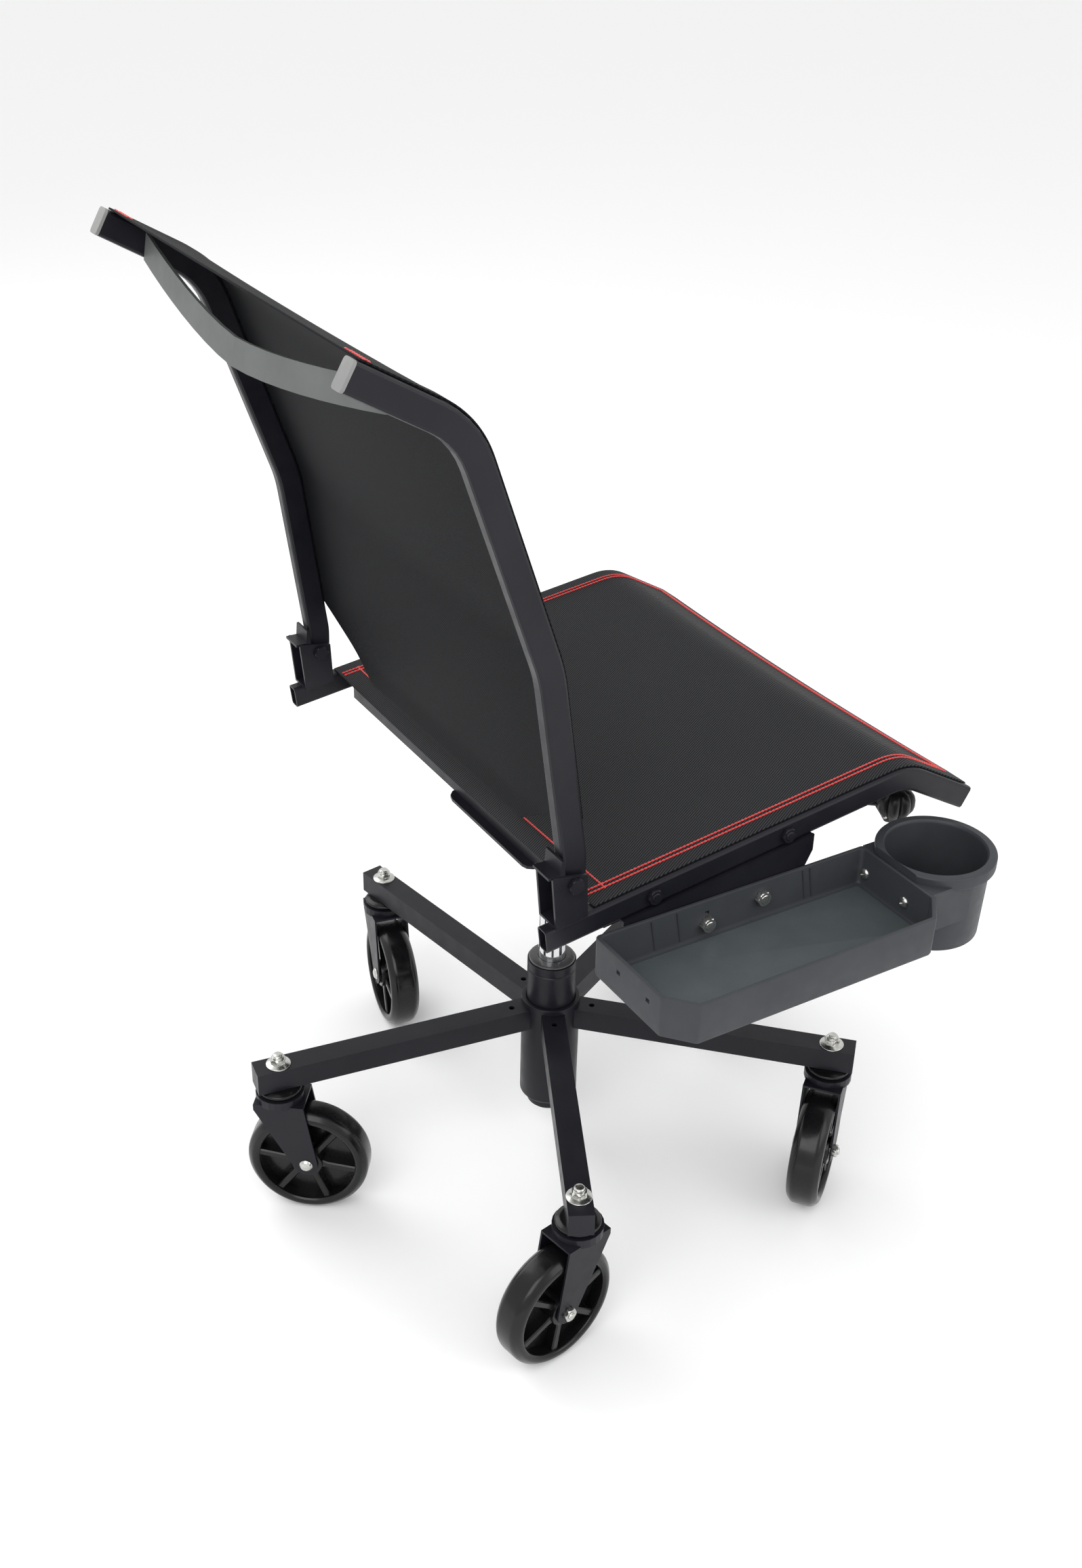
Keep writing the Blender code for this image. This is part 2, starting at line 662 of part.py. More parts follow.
def build_seat_frame(seat):
    """Two bent rails, two crossbars and the bolts through them."""
    line = rail_line()
    inward = normals(line, 1)
    for side, name in ((1, "left"), (-1, "right")):
        centre = side * (RAIL_OUTER_X - RAIL_WIDTH / 2)
        tube = bent_tube(line, inward, lambda _: centre, RAIL_WIDTH, RAIL_DEPTH, RAIL_WALL)
        rail = add(f"seat_rail_{name}", tube, BLACK_STEEL, seat)
        ends = sorted(side * x for x in (RAIL_OUTER_X, RAIL_OUTER_X - RAIL_WIDTH))
        for place in RAIL_BOLT_PLACES:
            radius = RAIL_BOLT_RADIUS + HOLE_CLEARANCE
            cut(rail, rod_cutter(radius, ends[0] - BOLT_HEAD, ends[1] + BOLT_HEAD, "X", place))
        if name == "right":
            build_rail_bolts(seat, ends)

    half = RAIL_OUTER_X - RAIL_WIDTH - GAP
    top = RAIL_TOP_AT_AXIS - CROSSBAR_DROP
    for y, name in ((REAR_CROSSBAR_Y, "rear"), (FRONT_CROSSBAR_Y, "front")):
        deep = CROSSBAR_DEPTH / 2
        bar = box((-half, half), (y - deep, y + deep), (top - CROSSBAR_HEIGHT, top))
        shear_with_seat(bar)
        piece = add(f"{name}_crossbar", bar, BLACK_STEEL, seat)
        room = CROSSBAR_DEPTH / 2 - CROSSBAR_WALL
        bore_heights = (top - CROSSBAR_HEIGHT + CROSSBAR_WALL, top - CROSSBAR_WALL)
        bore = box((-2 * half, 2 * half), (y - room, y + room), bore_heights)
        shear_with_seat(bore)
        cut(piece, bore)
        for x in plate_bolt_places():
            cut(piece, rod_cutter(PLATE_BOLT_RADIUS + HOLE_CLEARANCE, 0, 2 * top, "Z", (x, y)))


def build_rail_bolts(seat, ends):
    """The bolts across the rail on the tray's side, which end flush in its inner wall."""
    low = ends[0] - GAP
    for i, place in enumerate(RAIL_BOLT_PLACES):
        bolt = fastener((
            (BOLT_HEAD_RADIUS, low - BOLT_HEAD, low, 6),
            (RAIL_BOLT_RADIUS, low, ends[1] - GAP, 0),
        ))
        add(f"rail_bolt_{i + 1}", aim(bolt, "X"), BLACK_STEEL, seat, (0, *place))


def plate_bolt_places():
    """The x of the bolts that hold the lift plate."""
    return PLATE_LEFT_X - PLATE_BOLT_INSET, PLATE_RIGHT_X + PLATE_BOLT_INSET


def build_plate(seat):
    """The lift plate under the crossbars, with the socket for the rod and the ears for the lever."""
    rear, front = REAR_CROSSBAR_Y + PLATE_OVERHANG, FRONT_CROSSBAR_Y - PLATE_OVERHANG
    outline = rounded(
        ((PLATE_RIGHT_X, front), (PLATE_LEFT_X, front), (PLATE_LEFT_X, rear), (PLATE_RIGHT_X, rear)),
        PLATE_CORNER)
    sheet = prism(outline, plate_top() - PLATE_THICKNESS, plate_top())
    shear_with_seat(sheet)
    plate = add("lift_plate", sheet, BLACK_STEEL, seat)

    inner, outer = ROD_RADIUS + GAP, ROD_RADIUS + GAP + SOCKET_WALL
    low, high = plate_top() - SOCKET_LENGTH, plate_top() - PLATE_THICKNESS / 2
    socket = turned(((outer, low), (outer, high), (inner, high), (inner, low)))
    for vert in socket.verts:
        if vert.co.z > (low + high) / 2:
            vert.co.z -= SEAT_SLOPE * vert.co.y
    fuse(plate, socket)

    turn = lever_angle()
    ear_low = lever_height() - EAR_BELOW_PIN
    inner_face = LEVER_RADIUS + LEVER_SIDE_GAP
    pivot = LEVER_PIVOT_FROM_AXIS
    for side in (1, -1):
        ear = box(
            (pivot - EAR_LENGTH / 2, pivot + EAR_LENGTH / 2),
            (side * inner_face, side * (inner_face + EAR_THICKNESS)),
            (ear_low, plate_top()))
        turn_about_z(ear, turn)
        for vert in ear.verts:
            if vert.co.z > lever_height():
                vert.co.z -= SEAT_SLOPE * vert.co.y + PLATE_THICKNESS / 2
        fuse(plate, ear)

    window_heights = (ROD_TOP, high - PLATE_THICKNESS * 0.75)
    window = box((0, outer + SOCKET_WALL), (-inner_face, inner_face), window_heights)
    cut(plate, turn_about_z(window, turn))
    reach = 2 * (inner_face + EAR_THICKNESS)
    pin_hole = rod_cutter(LEVER_PIN_RADIUS + GAP, -reach, reach, "Y", (pivot, lever_height()))
    cut(plate, turn_about_z(pin_hole, turn))
    for x in plate_bolt_places():
        for y in (REAR_CROSSBAR_Y, FRONT_CROSSBAR_Y):
            cut(plate, rod_cutter(PLATE_BOLT_RADIUS + HOLE_CLEARANCE, 0, 2 * plate_top(), "Z", (x, y)))


def turn_about_z(bm, angle):
    """The same mesh, turned about the lift axis."""
    cos, sin = math.cos(angle), math.sin(angle)
    for vert in bm.verts:
        x, y, z = vert.co
        vert.co = Vector((x * cos - y * sin, x * sin + y * cos, z))
    return bm


def lever_angle():
    """The lever's direction from the lift axis, in radians."""
    return math.atan2(LEVER_DIRECTION.y, LEVER_DIRECTION.x)


def build_plate_bolts(seat):
    """The bolts at the rear crossbar, whose heads show behind the seat."""
    top = RAIL_TOP_AT_AXIS - CROSSBAR_DROP - SEAT_SLOPE * REAR_CROSSBAR_Y
    slope_room = SEAT_SLOPE * BOLT_HEAD_RADIUS * 1.2 + GAP
    bottom = top - CROSSBAR_HEIGHT - GAP - PLATE_THICKNESS
    for i, x in enumerate(plate_bolt_places()):
        bolt = fastener((
            (BOLT_HEAD_RADIUS, bottom - slope_room - BOLT_HEAD, bottom - slope_room, 6),
            (PLATE_BOLT_RADIUS, bottom - slope_room, top + slope_room, 0),
            (BOLT_HEAD_RADIUS, top + slope_room, top + slope_room + BOLT_HEAD, 6),
        ))
        add(f"plate_bolt_{i + 1}", bolt, BLACK_STEEL, seat, (x, REAR_CROSSBAR_Y, 0))


def build_lever(seat, lever):
    """The lever that tips on its pin, its grip, and the pin."""
    length = LEVER_DIRECTION.length - LEVER_PIVOT_FROM_AXIS
    start = -LEVER_PIVOT_FROM_AXIS - LEVER_OVERHANG
    points = ((start, 0), (LEVER_BEND_START, 0), (LEVER_BEND_END, -LEVER_DROP), (length, -LEVER_DROP))
    line = filleted(points, (LEVER_BEND_START, LEVER_BEND_START), 3)
    rings = []
    for point, normal in zip(line, normals(line, 1)):
        rings.append([
            (point.x + normal.x * b, a, point.y + normal.y * b)
            for a, b, _ in circle(LEVER_RADIUS, 0, BOLT_ROUND)
        ])
    bar = add("lift_lever", closed_mesh(rings), BLACK_STEEL, lever)
    cut(bar, rod_cutter(LEVER_PIN_RADIUS + GAP, -2 * LEVER_RADIUS, 2 * LEVER_RADIUS, "Y", (0, 0)))

    sides = GRIP_LOBES * 6
    outline = []
    for i in range(sides):
        angle = math.tau * i / sides
        radius = GRIP_RADIUS + GRIP_LOBE * math.cos(GRIP_LOBES * angle)
        outline.append((radius * math.cos(angle), radius * math.sin(angle) - LEVER_DROP))
    grip_start = length - GRIP_GRASP
    neck = [(u * 0.55, v * 0.55 - LEVER_DROP * 0.45) for u, v in outline]
    tip = [(u * 0.85, v * 0.85 - LEVER_DROP * 0.15) for u, v in outline]
    rings = [
        [(x, u, v) for u, v in shape]
        for x, shape in (
            (grip_start, neck), (grip_start + GRIP_LENGTH * 0.25, outline),
            (grip_start + GRIP_LENGTH * 0.9, outline), (grip_start + GRIP_LENGTH, tip),
        )
    ]
    grip = add("lever_grip", closed_mesh(rings), SLATE_PLASTIC, lever)
    cut(grip, rod_cutter(LEVER_RADIUS + GAP, grip_start - GRIP_LENGTH, length + GAP, "X", (0, -LEVER_DROP)))

    half = LEVER_RADIUS + LEVER_SIDE_GAP + EAR_THICKNESS + GAP
    pin = fastener((
        (LEVER_PIN_RADIUS * 1.6, -half - EAR_THICKNESS / 2, -half, 0),
        (LEVER_PIN_RADIUS, -half, half, 0),
        (LEVER_PIN_RADIUS * 1.6, half, half + EAR_THICKNESS / 2, 0),
    ))
    add("lever_pin", aim(pin, "Y"), ZINC, seat, lever.location, math.degrees(lever_angle()))


# --- Back ---------------------------------------------------------------------------------------------


def tube_outer_x(z):
    """The back tube's outer face, which closes in towards the top."""
    share = (z - TUBE_LOW_Z) / (TUBE_HIGH_Z - TUBE_LOW_Z)
    return TUBE_OUTER_X_LOW + (TUBE_OUTER_X_HIGH - TUBE_OUTER_X_LOW) * share


def back_line():
    """The front face of the back tubes in the YZ plane, from the hinge up."""
    return filleted(TUBE_FRONT_LINE, TUBE_BENDS)


def build_hinges(seat):
    """A channel on each rail with a stop behind the tube, and the bolt the tube turns on."""
    outer = RAIL_OUTER_X + GAP + BRACKET_SHEET
    foot = [(y, rail_top_z(y) + GAP) for y in (BRACKET_FOOT_FRONT_Y, BRACKET_FOOT_REAR_Y)]
    floor = [(y, z + BRACKET_SHEET) for y, z in foot]
    side_outline = (foot[0], foot[1], BRACKET_TOP_REAR, BRACKET_TOP_FRONT)
    reach = 2 * BRACKET_SHEET
    void = (
        (floor[0][0] - reach, floor[0][1] + SEAT_SLOPE * reach),
        (floor[1][0] + 2 * reach, floor[1][1] - 2 * SEAT_SLOPE * reach),
        (floor[1][0] + 2 * reach, STOP_TOP), (floor[0][0] - reach, STOP_TOP),
    )
    tube_rear = TUBE_FRONT_LINE[1][0] + TUBE_DEPTH
    stop_front = tube_rear + 2 * GAP
    lip_low = BRACKET_TOP_REAR[1] - BRACKET_SHEET
    stop = (
        (stop_front, lip_low), (stop_front + STOP_LIP, lip_low), (stop_front + STOP_LIP, BRACKET_TOP_REAR[1]),
        (stop_front + 2 * BRACKET_SHEET, BRACKET_TOP_REAR[1]),
        (stop_front + BRACKET_SHEET * 1.6, STOP_TOP), (stop_front + BRACKET_SHEET * 0.6, STOP_TOP),
    )
    for side, name in ((1, "left"), (-1, "right")):
        ends = sorted((side * BRACKET_INNER_X, side * outer))
        bracket = add(f"hinge_bracket_{name}", prism(side_outline, *ends, "X"), BLACK_STEEL, seat)
        cut(bracket, prism(void, ends[0] + BRACKET_SHEET, ends[1] - BRACKET_SHEET, "X"))
        fuse(bracket, prism(stop, ends[0] + BRACKET_SHEET / 2, ends[1] - BRACKET_SHEET / 2, "X"))
        hole_radius = PIVOT_BOLT_RADIUS + HOLE_CLEARANCE
        hole = rod_cutter(hole_radius, ends[0] - BOLT_HEAD, ends[1] + BOLT_HEAD, "X", (PIVOT_Y, PIVOT_Z))
        cut(bracket, hole)
        low, high = ends[0] - GAP, ends[1] + GAP
        bolt = fastener((
            (BOLT_HEAD_RADIUS, low - BOLT_HEAD, low, 6),
            (PIVOT_BOLT_RADIUS, low, high, 0),
            (BOLT_HEAD_RADIUS, high, high + BOLT_HEAD, 6),
        ))
        add(f"hinge_bolt_{name}", aim(bolt, "X"), BLACK_STEEL, seat, (0, PIVOT_Y, PIVOT_Z))


def build_back(back):
    """Two bent tubes with end caps, the bowed bar between them and the mesh over them."""
    pivot = Vector((0, PIVOT_Y, PIVOT_Z))
    line = back_line()
    inward = normals(line, -1)
    bolt_hole = PIVOT_BOLT_RADIUS + HOLE_CLEARANCE
    end, before = line[-1], line[-2]
    along = (end - before).normalized()
    for side, name in ((1, "left"), (-1, "right")):
        def centre(z, side=side):
            return side * (tube_outer_x(z) - TUBE_WIDTH / 2)

        tube = moved(bent_tube(line, inward, centre, TUBE_WIDTH, TUBE_DEPTH, TUBE_WALL), -pivot)
        piece = add(f"back_tube_{name}", tube, BLACK_STEEL, back)
        cut(piece, rod_cutter(bolt_hole, *sorted((side * BRACKET_INNER_X, side * RAIL_OUTER_X)), "X", (0, 0)))

        cap = moved(end_cap(end, along, inward[-1], centre(end.y)), -pivot)
        add(f"back_cap_{name}", cap, GREY_PLASTIC, back)

    add("upper_crossbar", moved(bowed_bar(), -pivot), GREY_STEEL, back)
    add("back_mesh", moved(back_sheet(line, inward), -pivot), MESH_FABRIC, back)


def end_cap(end, along, inward, centre_x):
    """A cap over a tube's end with a plug inside it."""
    plug_wall = TUBE_WALL + CAP_CLEARANCE
    corner = TUBE_WALL * 1.8
    full = box_section(TUBE_WIDTH, TUBE_DEPTH, corner)
    plug = [(a, b + plug_wall) for a, b in box_section(
        TUBE_WIDTH - 2 * plug_wall, TUBE_DEPTH - 2 * plug_wall, corner - TUBE_WALL)]
    rings = []
    for section, reach in ((plug, -CAP_PLUG), (plug, GAP), (full, GAP), (full, CAP_THICKNESS)):
        rings.append([(centre_x + a, *(end + along * reach + inward * b)) for a, b in section])
    return closed_mesh(rings)


def bowed_bar():
    """The flat bar between the back tubes, bowed back and down."""
    half = tube_outer_x(UPPER_BAR_END[1]) - TUBE_WIDTH - 2 * GAP
    lean = math.radians(UPPER_BAR_LEAN_DEG)
    down = Vector((math.sin(lean), -math.cos(lean))) * UPPER_BAR_HEIGHT
    through = Vector((math.cos(lean), math.sin(lean))) * UPPER_BAR_THICKNESS
    steps = 16
    rings = []
    for i in range(steps + 1):
        share = 2 * i / steps - 1
        bow = 1 - abs(share) ** UPPER_BAR_BOW_POWER
        top = Vector(UPPER_BAR_END) + Vector(UPPER_BAR_BOW) * bow
        corners = (top, top + through, top + through + down, top + down)
        rings.append([(half * share, *corner) for corner in corners])
    return closed_mesh(rings)


def sheet_of(line, inward, half_width, thickness):
    """A sheet laid over a line of the frame. Its half width is a function of the place along the line."""
    rings = []
    for i, (point, normal) in enumerate(zip(line, inward)):
        half = half_width(i)
        low, high = point - normal * GAP, point - normal * (GAP + thickness)
        rings.append([(-half, *low), (half, *low), (half, *high), (-half, *high)])
    return closed_mesh(rings)


def back_sheet(line, inward):
    """The back mesh on the front of the tubes, with its lower corners cut in."""
    bend = Vector(TUBE_FRONT_LINE[1])
    bottom = Vector((bend.x, BACK_BOTTOM_Z))
    top = line[-1] - (line[-1] - line[-2]).normalized() * BACK_TOP_CLEARANCE
    direction = (Vector(TUBE_FRONT_LINE[2]) - bend).normalized()
    corner_z = BACK_BOTTOM_Z + BACK_CORNER_HEIGHT
    corner = bend + direction * (corner_z - bend.y) / direction.y
    room = BACK_CORNER_HEIGHT / 20
    kept = [bottom, *(point for point in line if bottom.y + room < point.y < corner_z - room), corner]
    kept += [point for point in line if point.y > corner_z + room][:-1] + [top]
    turned_in = normals(kept, -1)

    def half_width(i):
        cut_in = max(0.0, 1 - (kept[i].y - BACK_BOTTOM_Z) / BACK_CORNER_HEIGHT)
        return tube_outer_x(kept[i].y) - BACK_EDGE_INSET - BACK_CORNER_INSET * cut_in

    return sheet_of(kept, turned_in, half_width, FABRIC)


def seat_sheet():
    """The seat mesh over the rails."""
    front_z = RAIL_FRONT[1] + (SEAT_FRONT_Y - RAIL_FRONT[0]) * front_slope()
    line = rail_line(SEAT_REAR_Y, (SEAT_FRONT_Y, front_z))
    full = RAIL_OUTER_X - SEAT_EDGE_INSET
    return sheet_of(
        line, normals(line, 1),
        lambda i: SEAT_FRONT_HALF_WIDTH if i == len(line) - 1 else full, FABRIC)


def front_slope():
    """How steeply the rails fall in front of their crest."""
    crest_z = rail_top_z(RAIL_CREST_Y)
    return (crest_z - RAIL_FRONT[1]) / (RAIL_CREST_Y - RAIL_FRONT[0])


# --- Tray and cup holder ------------------------------------------------------------------------------


def tray_outline(inset):
    """The tray seen from above, with its outer corners cut, drawn in by an inset."""
    inner, outer = -TRAY_INNER_X - inset, -TRAY_OUTER_X + inset
    rear, front = TRAY_REAR_Y - inset, TRAY_FRONT_Y + inset
    half_cut = inset * 0.45
    cut_x, cut_y = TRAY_CHAMFER_X - half_cut, TRAY_CHAMFER_Y - half_cut
    return (
        (inner, front), (inner, rear), (outer + cut_x, rear),
        (outer, rear - cut_y), (outer, front + cut_y), (outer + cut_x, front),
    )


def build_tray(seat):
    """The tray's bracket under the right rail, the tray and the bolts between them."""
    web_outer = -(TRAY_INNER_X - GAP)
    web_inner = web_outer + BRACKET_SHEET
    under_rail = RAIL_DEPTH * math.sqrt(1 + SEAT_SLOPE ** 2) + GAP

    def flange_top(y):
        return rail_top_z(y) - under_rail

    web = (
        (BRACKET_REAR_Y, flange_top(BRACKET_REAR_Y)), (BRACKET_FRONT_Y, flange_top(BRACKET_FRONT_Y)),
        (BRACKET_FRONT_Y, flange_top(BRACKET_FRONT_Y) - BRACKET_END_HEIGHT), BRACKET_BOTTOM_FRONT,
        BRACKET_BOTTOM_REAR, (BRACKET_REAR_Y, flange_top(BRACKET_REAR_Y) - BRACKET_END_HEIGHT),
    )
    bracket = add("tray_bracket", prism(web, web_outer, web_inner, "X"), BLACK_STEEL, seat)
    ends = (BRACKET_REAR_Y - GAP, BRACKET_FRONT_Y + GAP)
    flange = [(y, flange_top(y) - GAP) for y in ends]
    flange += [(y, flange_top(y) - BRACKET_SHEET) for y in reversed(ends)]
    fuse(bracket, prism(flange, web_outer + GAP, web_outer + FLANGE_WIDTH, "X"))

    tray = add("tray", prism(tray_outline(0), TRAY_BOTTOM, TRAY_TOP), SLATE_PLASTIC, seat)
    cut(tray, prism(tray_outline(TRAY_WALL), TRAY_BOTTOM + TRAY_FLOOR, TRAY_TOP + TRAY_WALL))
    slot_width, slot_height = TRAY_SLOT
    slot_top = TRAY_TOP - TRAY_SLOT_BELOW_RIM
    for x in TRAY_SLOTS_X:
        cut(tray, box(
            (-x - slot_width / 2, -x + slot_width / 2),
            (TRAY_REAR_Y - 2 * TRAY_WALL, TRAY_REAR_Y + TRAY_WALL), (slot_top - slot_height, slot_top)))

    hole = TRAY_BOLT_RADIUS + HOLE_CLEARANCE
    wall_inner = -TRAY_INNER_X - TRAY_WALL
    for i, place in enumerate(TRAY_BOLT_PLACES):
        for piece in (bracket, tray):
            cut(piece, rod_cutter(hole, wall_inner - TRAY_WALL, web_inner + TRAY_WALL, "X", place))
        low, high = wall_inner - GAP, web_inner + GAP
        bolt = fastener((
            (BOLT_HEAD_RADIUS, low - BOLT_HEAD, low, 6),
            (TRAY_BOLT_RADIUS, low, high, 0),
            (BOLT_HEAD_RADIUS, high, high + BOLT_HEAD, 6),
        ))
        add(f"tray_bolt_{i + 1}", aim(bolt, "X"), ZINC, seat, (0, *place))
    return tray


def build_cup_holder(seat, tray):
    """The cup holder with the block that joins it to the tray's front wall, and its two screws."""
    shoulder = CUP_TOP - CUP_RIM_HEIGHT
    body = turned((
        (0, CUP_BOTTOM), (CUP_RADIUS_BOTTOM, CUP_BOTTOM), (CUP_RADIUS_TOP, shoulder),
        (CUP_RIM_RADIUS, shoulder), (CUP_RIM_RADIUS, CUP_TOP), (0, CUP_TOP),
    ), 2 * ROUND)
    cup = add("cup_holder", body, SLATE_PLASTIC, seat, (-CUP_X, CUP_Y, 0))
    tray_face = TRAY_FRONT_Y - CUP_Y - GAP
    fuse(cup, box(
        (-CUP_RADIUS_TOP + GAP, CUP_RADIUS_BOTTOM - TRAY_WALL), (0, tray_face),
        (CUP_BLOCK_BOTTOM, CUP_BLOCK_TOP)))
    cut(cup, turned(
        ((0, CUP_BOTTOM + CUP_FLOOR), (CUP_INNER_RADIUS - CUP_FLOOR / 2, CUP_BOTTOM + CUP_FLOOR),
         (CUP_INNER_RADIUS, CUP_TOP + CUP_FLOOR), (0, CUP_TOP + CUP_FLOOR)), 2 * ROUND))
    cut(cup, box(
        (-2 * CUP_RIM_RADIUS, 2 * CUP_RIM_RADIUS), (tray_face, 2 * CUP_RIM_RADIUS), (0, 2 * CUP_TOP)))
    wall_inner = TRAY_FRONT_Y + TRAY_WALL
    for i, x in enumerate(CUP_SCREWS_X):
        place = (CUP_X - x, CUP_SCREW_Z)
        radius = CUP_SCREW_RADIUS + HOLE_CLEARANCE
        cut(cup, rod_cutter(radius, tray_face - CUP_SCREW_REACH - GAP, tray_face + TRAY_WALL, "Y", place))
        cut(tray, rod_cutter(
            radius, TRAY_FRONT_Y - TRAY_WALL, wall_inner + TRAY_WALL, "Y", (-x, CUP_SCREW_Z)))
        screw = fastener((
            (CUP_SCREW_RADIUS, TRAY_FRONT_Y - CUP_SCREW_REACH, wall_inner + GAP, 0),
            (2 * CUP_SCREW_RADIUS, wall_inner + GAP, wall_inner + 1.4 * CUP_SCREW_RADIUS, 0),
        ))
        add(f"cup_screw_{i + 1}", aim(screw, "Y"), ZINC, seat, (-x, 0, CUP_SCREW_Z))


# --- Assembly -----------------------------------------------------------------------------------------


def centre_over_origin(root):
    """Moves the assembly so that the middle of its bounding box stands over the origin."""
    bpy.context.view_layer.update()
    corners = [
        obj.matrix_world @ Vector(corner)
        for obj in bpy.data.objects
        if obj.type == "MESH" and not obj.hide_render
        for corner in obj.bound_box
    ]
    for axis in (0, 1):
        values = [corner[axis] for corner in corners]
        root.location[axis] = -(min(values) + max(values)) / 2


def main():
    """Builds every piece under the empties its joints turn and slide on."""
    clear_scene()
    root = empty("creeper")
    lift = empty("lift_slide", root)
    seat = empty("seat_swivel", lift)
    button = empty("button_slide", lift, (0, 0, button_bottom()))
    direction = LEVER_DIRECTION.normalized()
    lever_place = (*(direction * LEVER_PIVOT_FROM_AXIS), lever_height())
    lever = empty("lever_tip", seat, lever_place, math.degrees(lever_angle()))
    back = empty("back_fold", seat, (0, PIVOT_Y, PIVOT_Z))

    build_base(root)
    build_lift(root, lift)
    build_button(button)
    for i, direction_deg in enumerate(CASTER_DIRECTIONS_DEG):
        build_caster(i + 1, root, FIRST_ARM_DEG + i * 360 / ARM_COUNT, direction_deg)
    build_seat_frame(seat)
    build_plate(seat)
    build_plate_bolts(seat)
    build_lever(seat, lever)
    build_hinges(seat)
    build_back(back)
    add("seat_mesh", seat_sheet(), MESH_FABRIC, seat)
    tray = build_tray(seat)
    build_cup_holder(seat, tray)
    centre_over_origin(root)


main()
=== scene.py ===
"""Dresses the rolling mechanic's seat: its fabric, finishes, wheels and fasteners, over the fixed frame."""

from __future__ import annotations

import functools
import json
import logging
import math
from dataclasses import dataclass
from enum import Enum
from typing import Callable, Sequence

import bmesh
import bpy
from mathutils import Matrix, Vector


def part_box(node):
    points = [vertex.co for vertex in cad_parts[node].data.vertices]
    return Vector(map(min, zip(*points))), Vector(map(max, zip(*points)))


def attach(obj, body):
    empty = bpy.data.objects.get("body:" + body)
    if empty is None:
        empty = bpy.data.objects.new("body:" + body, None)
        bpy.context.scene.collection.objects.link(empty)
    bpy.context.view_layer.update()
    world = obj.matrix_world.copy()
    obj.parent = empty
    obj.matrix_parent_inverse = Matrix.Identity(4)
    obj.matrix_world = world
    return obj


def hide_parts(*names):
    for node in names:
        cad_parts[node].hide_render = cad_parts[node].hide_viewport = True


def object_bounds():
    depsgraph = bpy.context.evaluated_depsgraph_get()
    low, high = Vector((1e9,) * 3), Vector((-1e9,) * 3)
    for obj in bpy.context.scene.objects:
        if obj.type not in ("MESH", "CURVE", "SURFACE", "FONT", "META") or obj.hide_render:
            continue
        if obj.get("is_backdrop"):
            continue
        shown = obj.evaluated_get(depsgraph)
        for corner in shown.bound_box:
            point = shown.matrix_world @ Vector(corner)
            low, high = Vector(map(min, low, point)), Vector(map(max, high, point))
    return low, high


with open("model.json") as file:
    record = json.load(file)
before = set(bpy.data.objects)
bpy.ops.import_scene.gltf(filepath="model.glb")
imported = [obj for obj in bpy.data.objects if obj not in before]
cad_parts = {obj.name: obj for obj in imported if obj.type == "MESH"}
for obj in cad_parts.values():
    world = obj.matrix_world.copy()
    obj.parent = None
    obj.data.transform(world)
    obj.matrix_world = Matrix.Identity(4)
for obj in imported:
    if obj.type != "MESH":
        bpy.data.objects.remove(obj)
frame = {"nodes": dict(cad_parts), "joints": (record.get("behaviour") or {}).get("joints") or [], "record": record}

LOG = logging.getLogger("creeper")
CASTERS = 5
CLOTH_MAP = "cloth"  # the cloth's own map, in metres
FINE_DETAIL = 2.0  # octaves of the finest grain
ROUGH_DETAIL = 4.0  # octaves of marks and dust

Point = tuple[float, float, float]
Colour = tuple[float, float, float]
Span = tuple[float, float]
Profile = Sequence[tuple[float, float]]


class Side(Enum):
    """A side of the seat, as the sitter has it."""

    LEFT = 1
    RIGHT = -1

    @property
    def word(self) -> str:
        """The side's name in node names."""
        return self.name.lower()


@functools.cache
def lift_axis() -> Vector:
    """The lift's axis on the floor, from the gas cylinder's box.

    Returns:
        The axis's place at floor height.
    """
    low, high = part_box("gas_cylinder")
    middle = (low + high) / 2
    return Vector((middle.x, middle.y, 0.0))


def at_lift(x: float, y: float, z: float) -> Vector:
    """A point given from the lift's axis."""
    return lift_axis() + Vector((x, y, z))


# --- Finishes -----------------------------------------------------------------------------------------


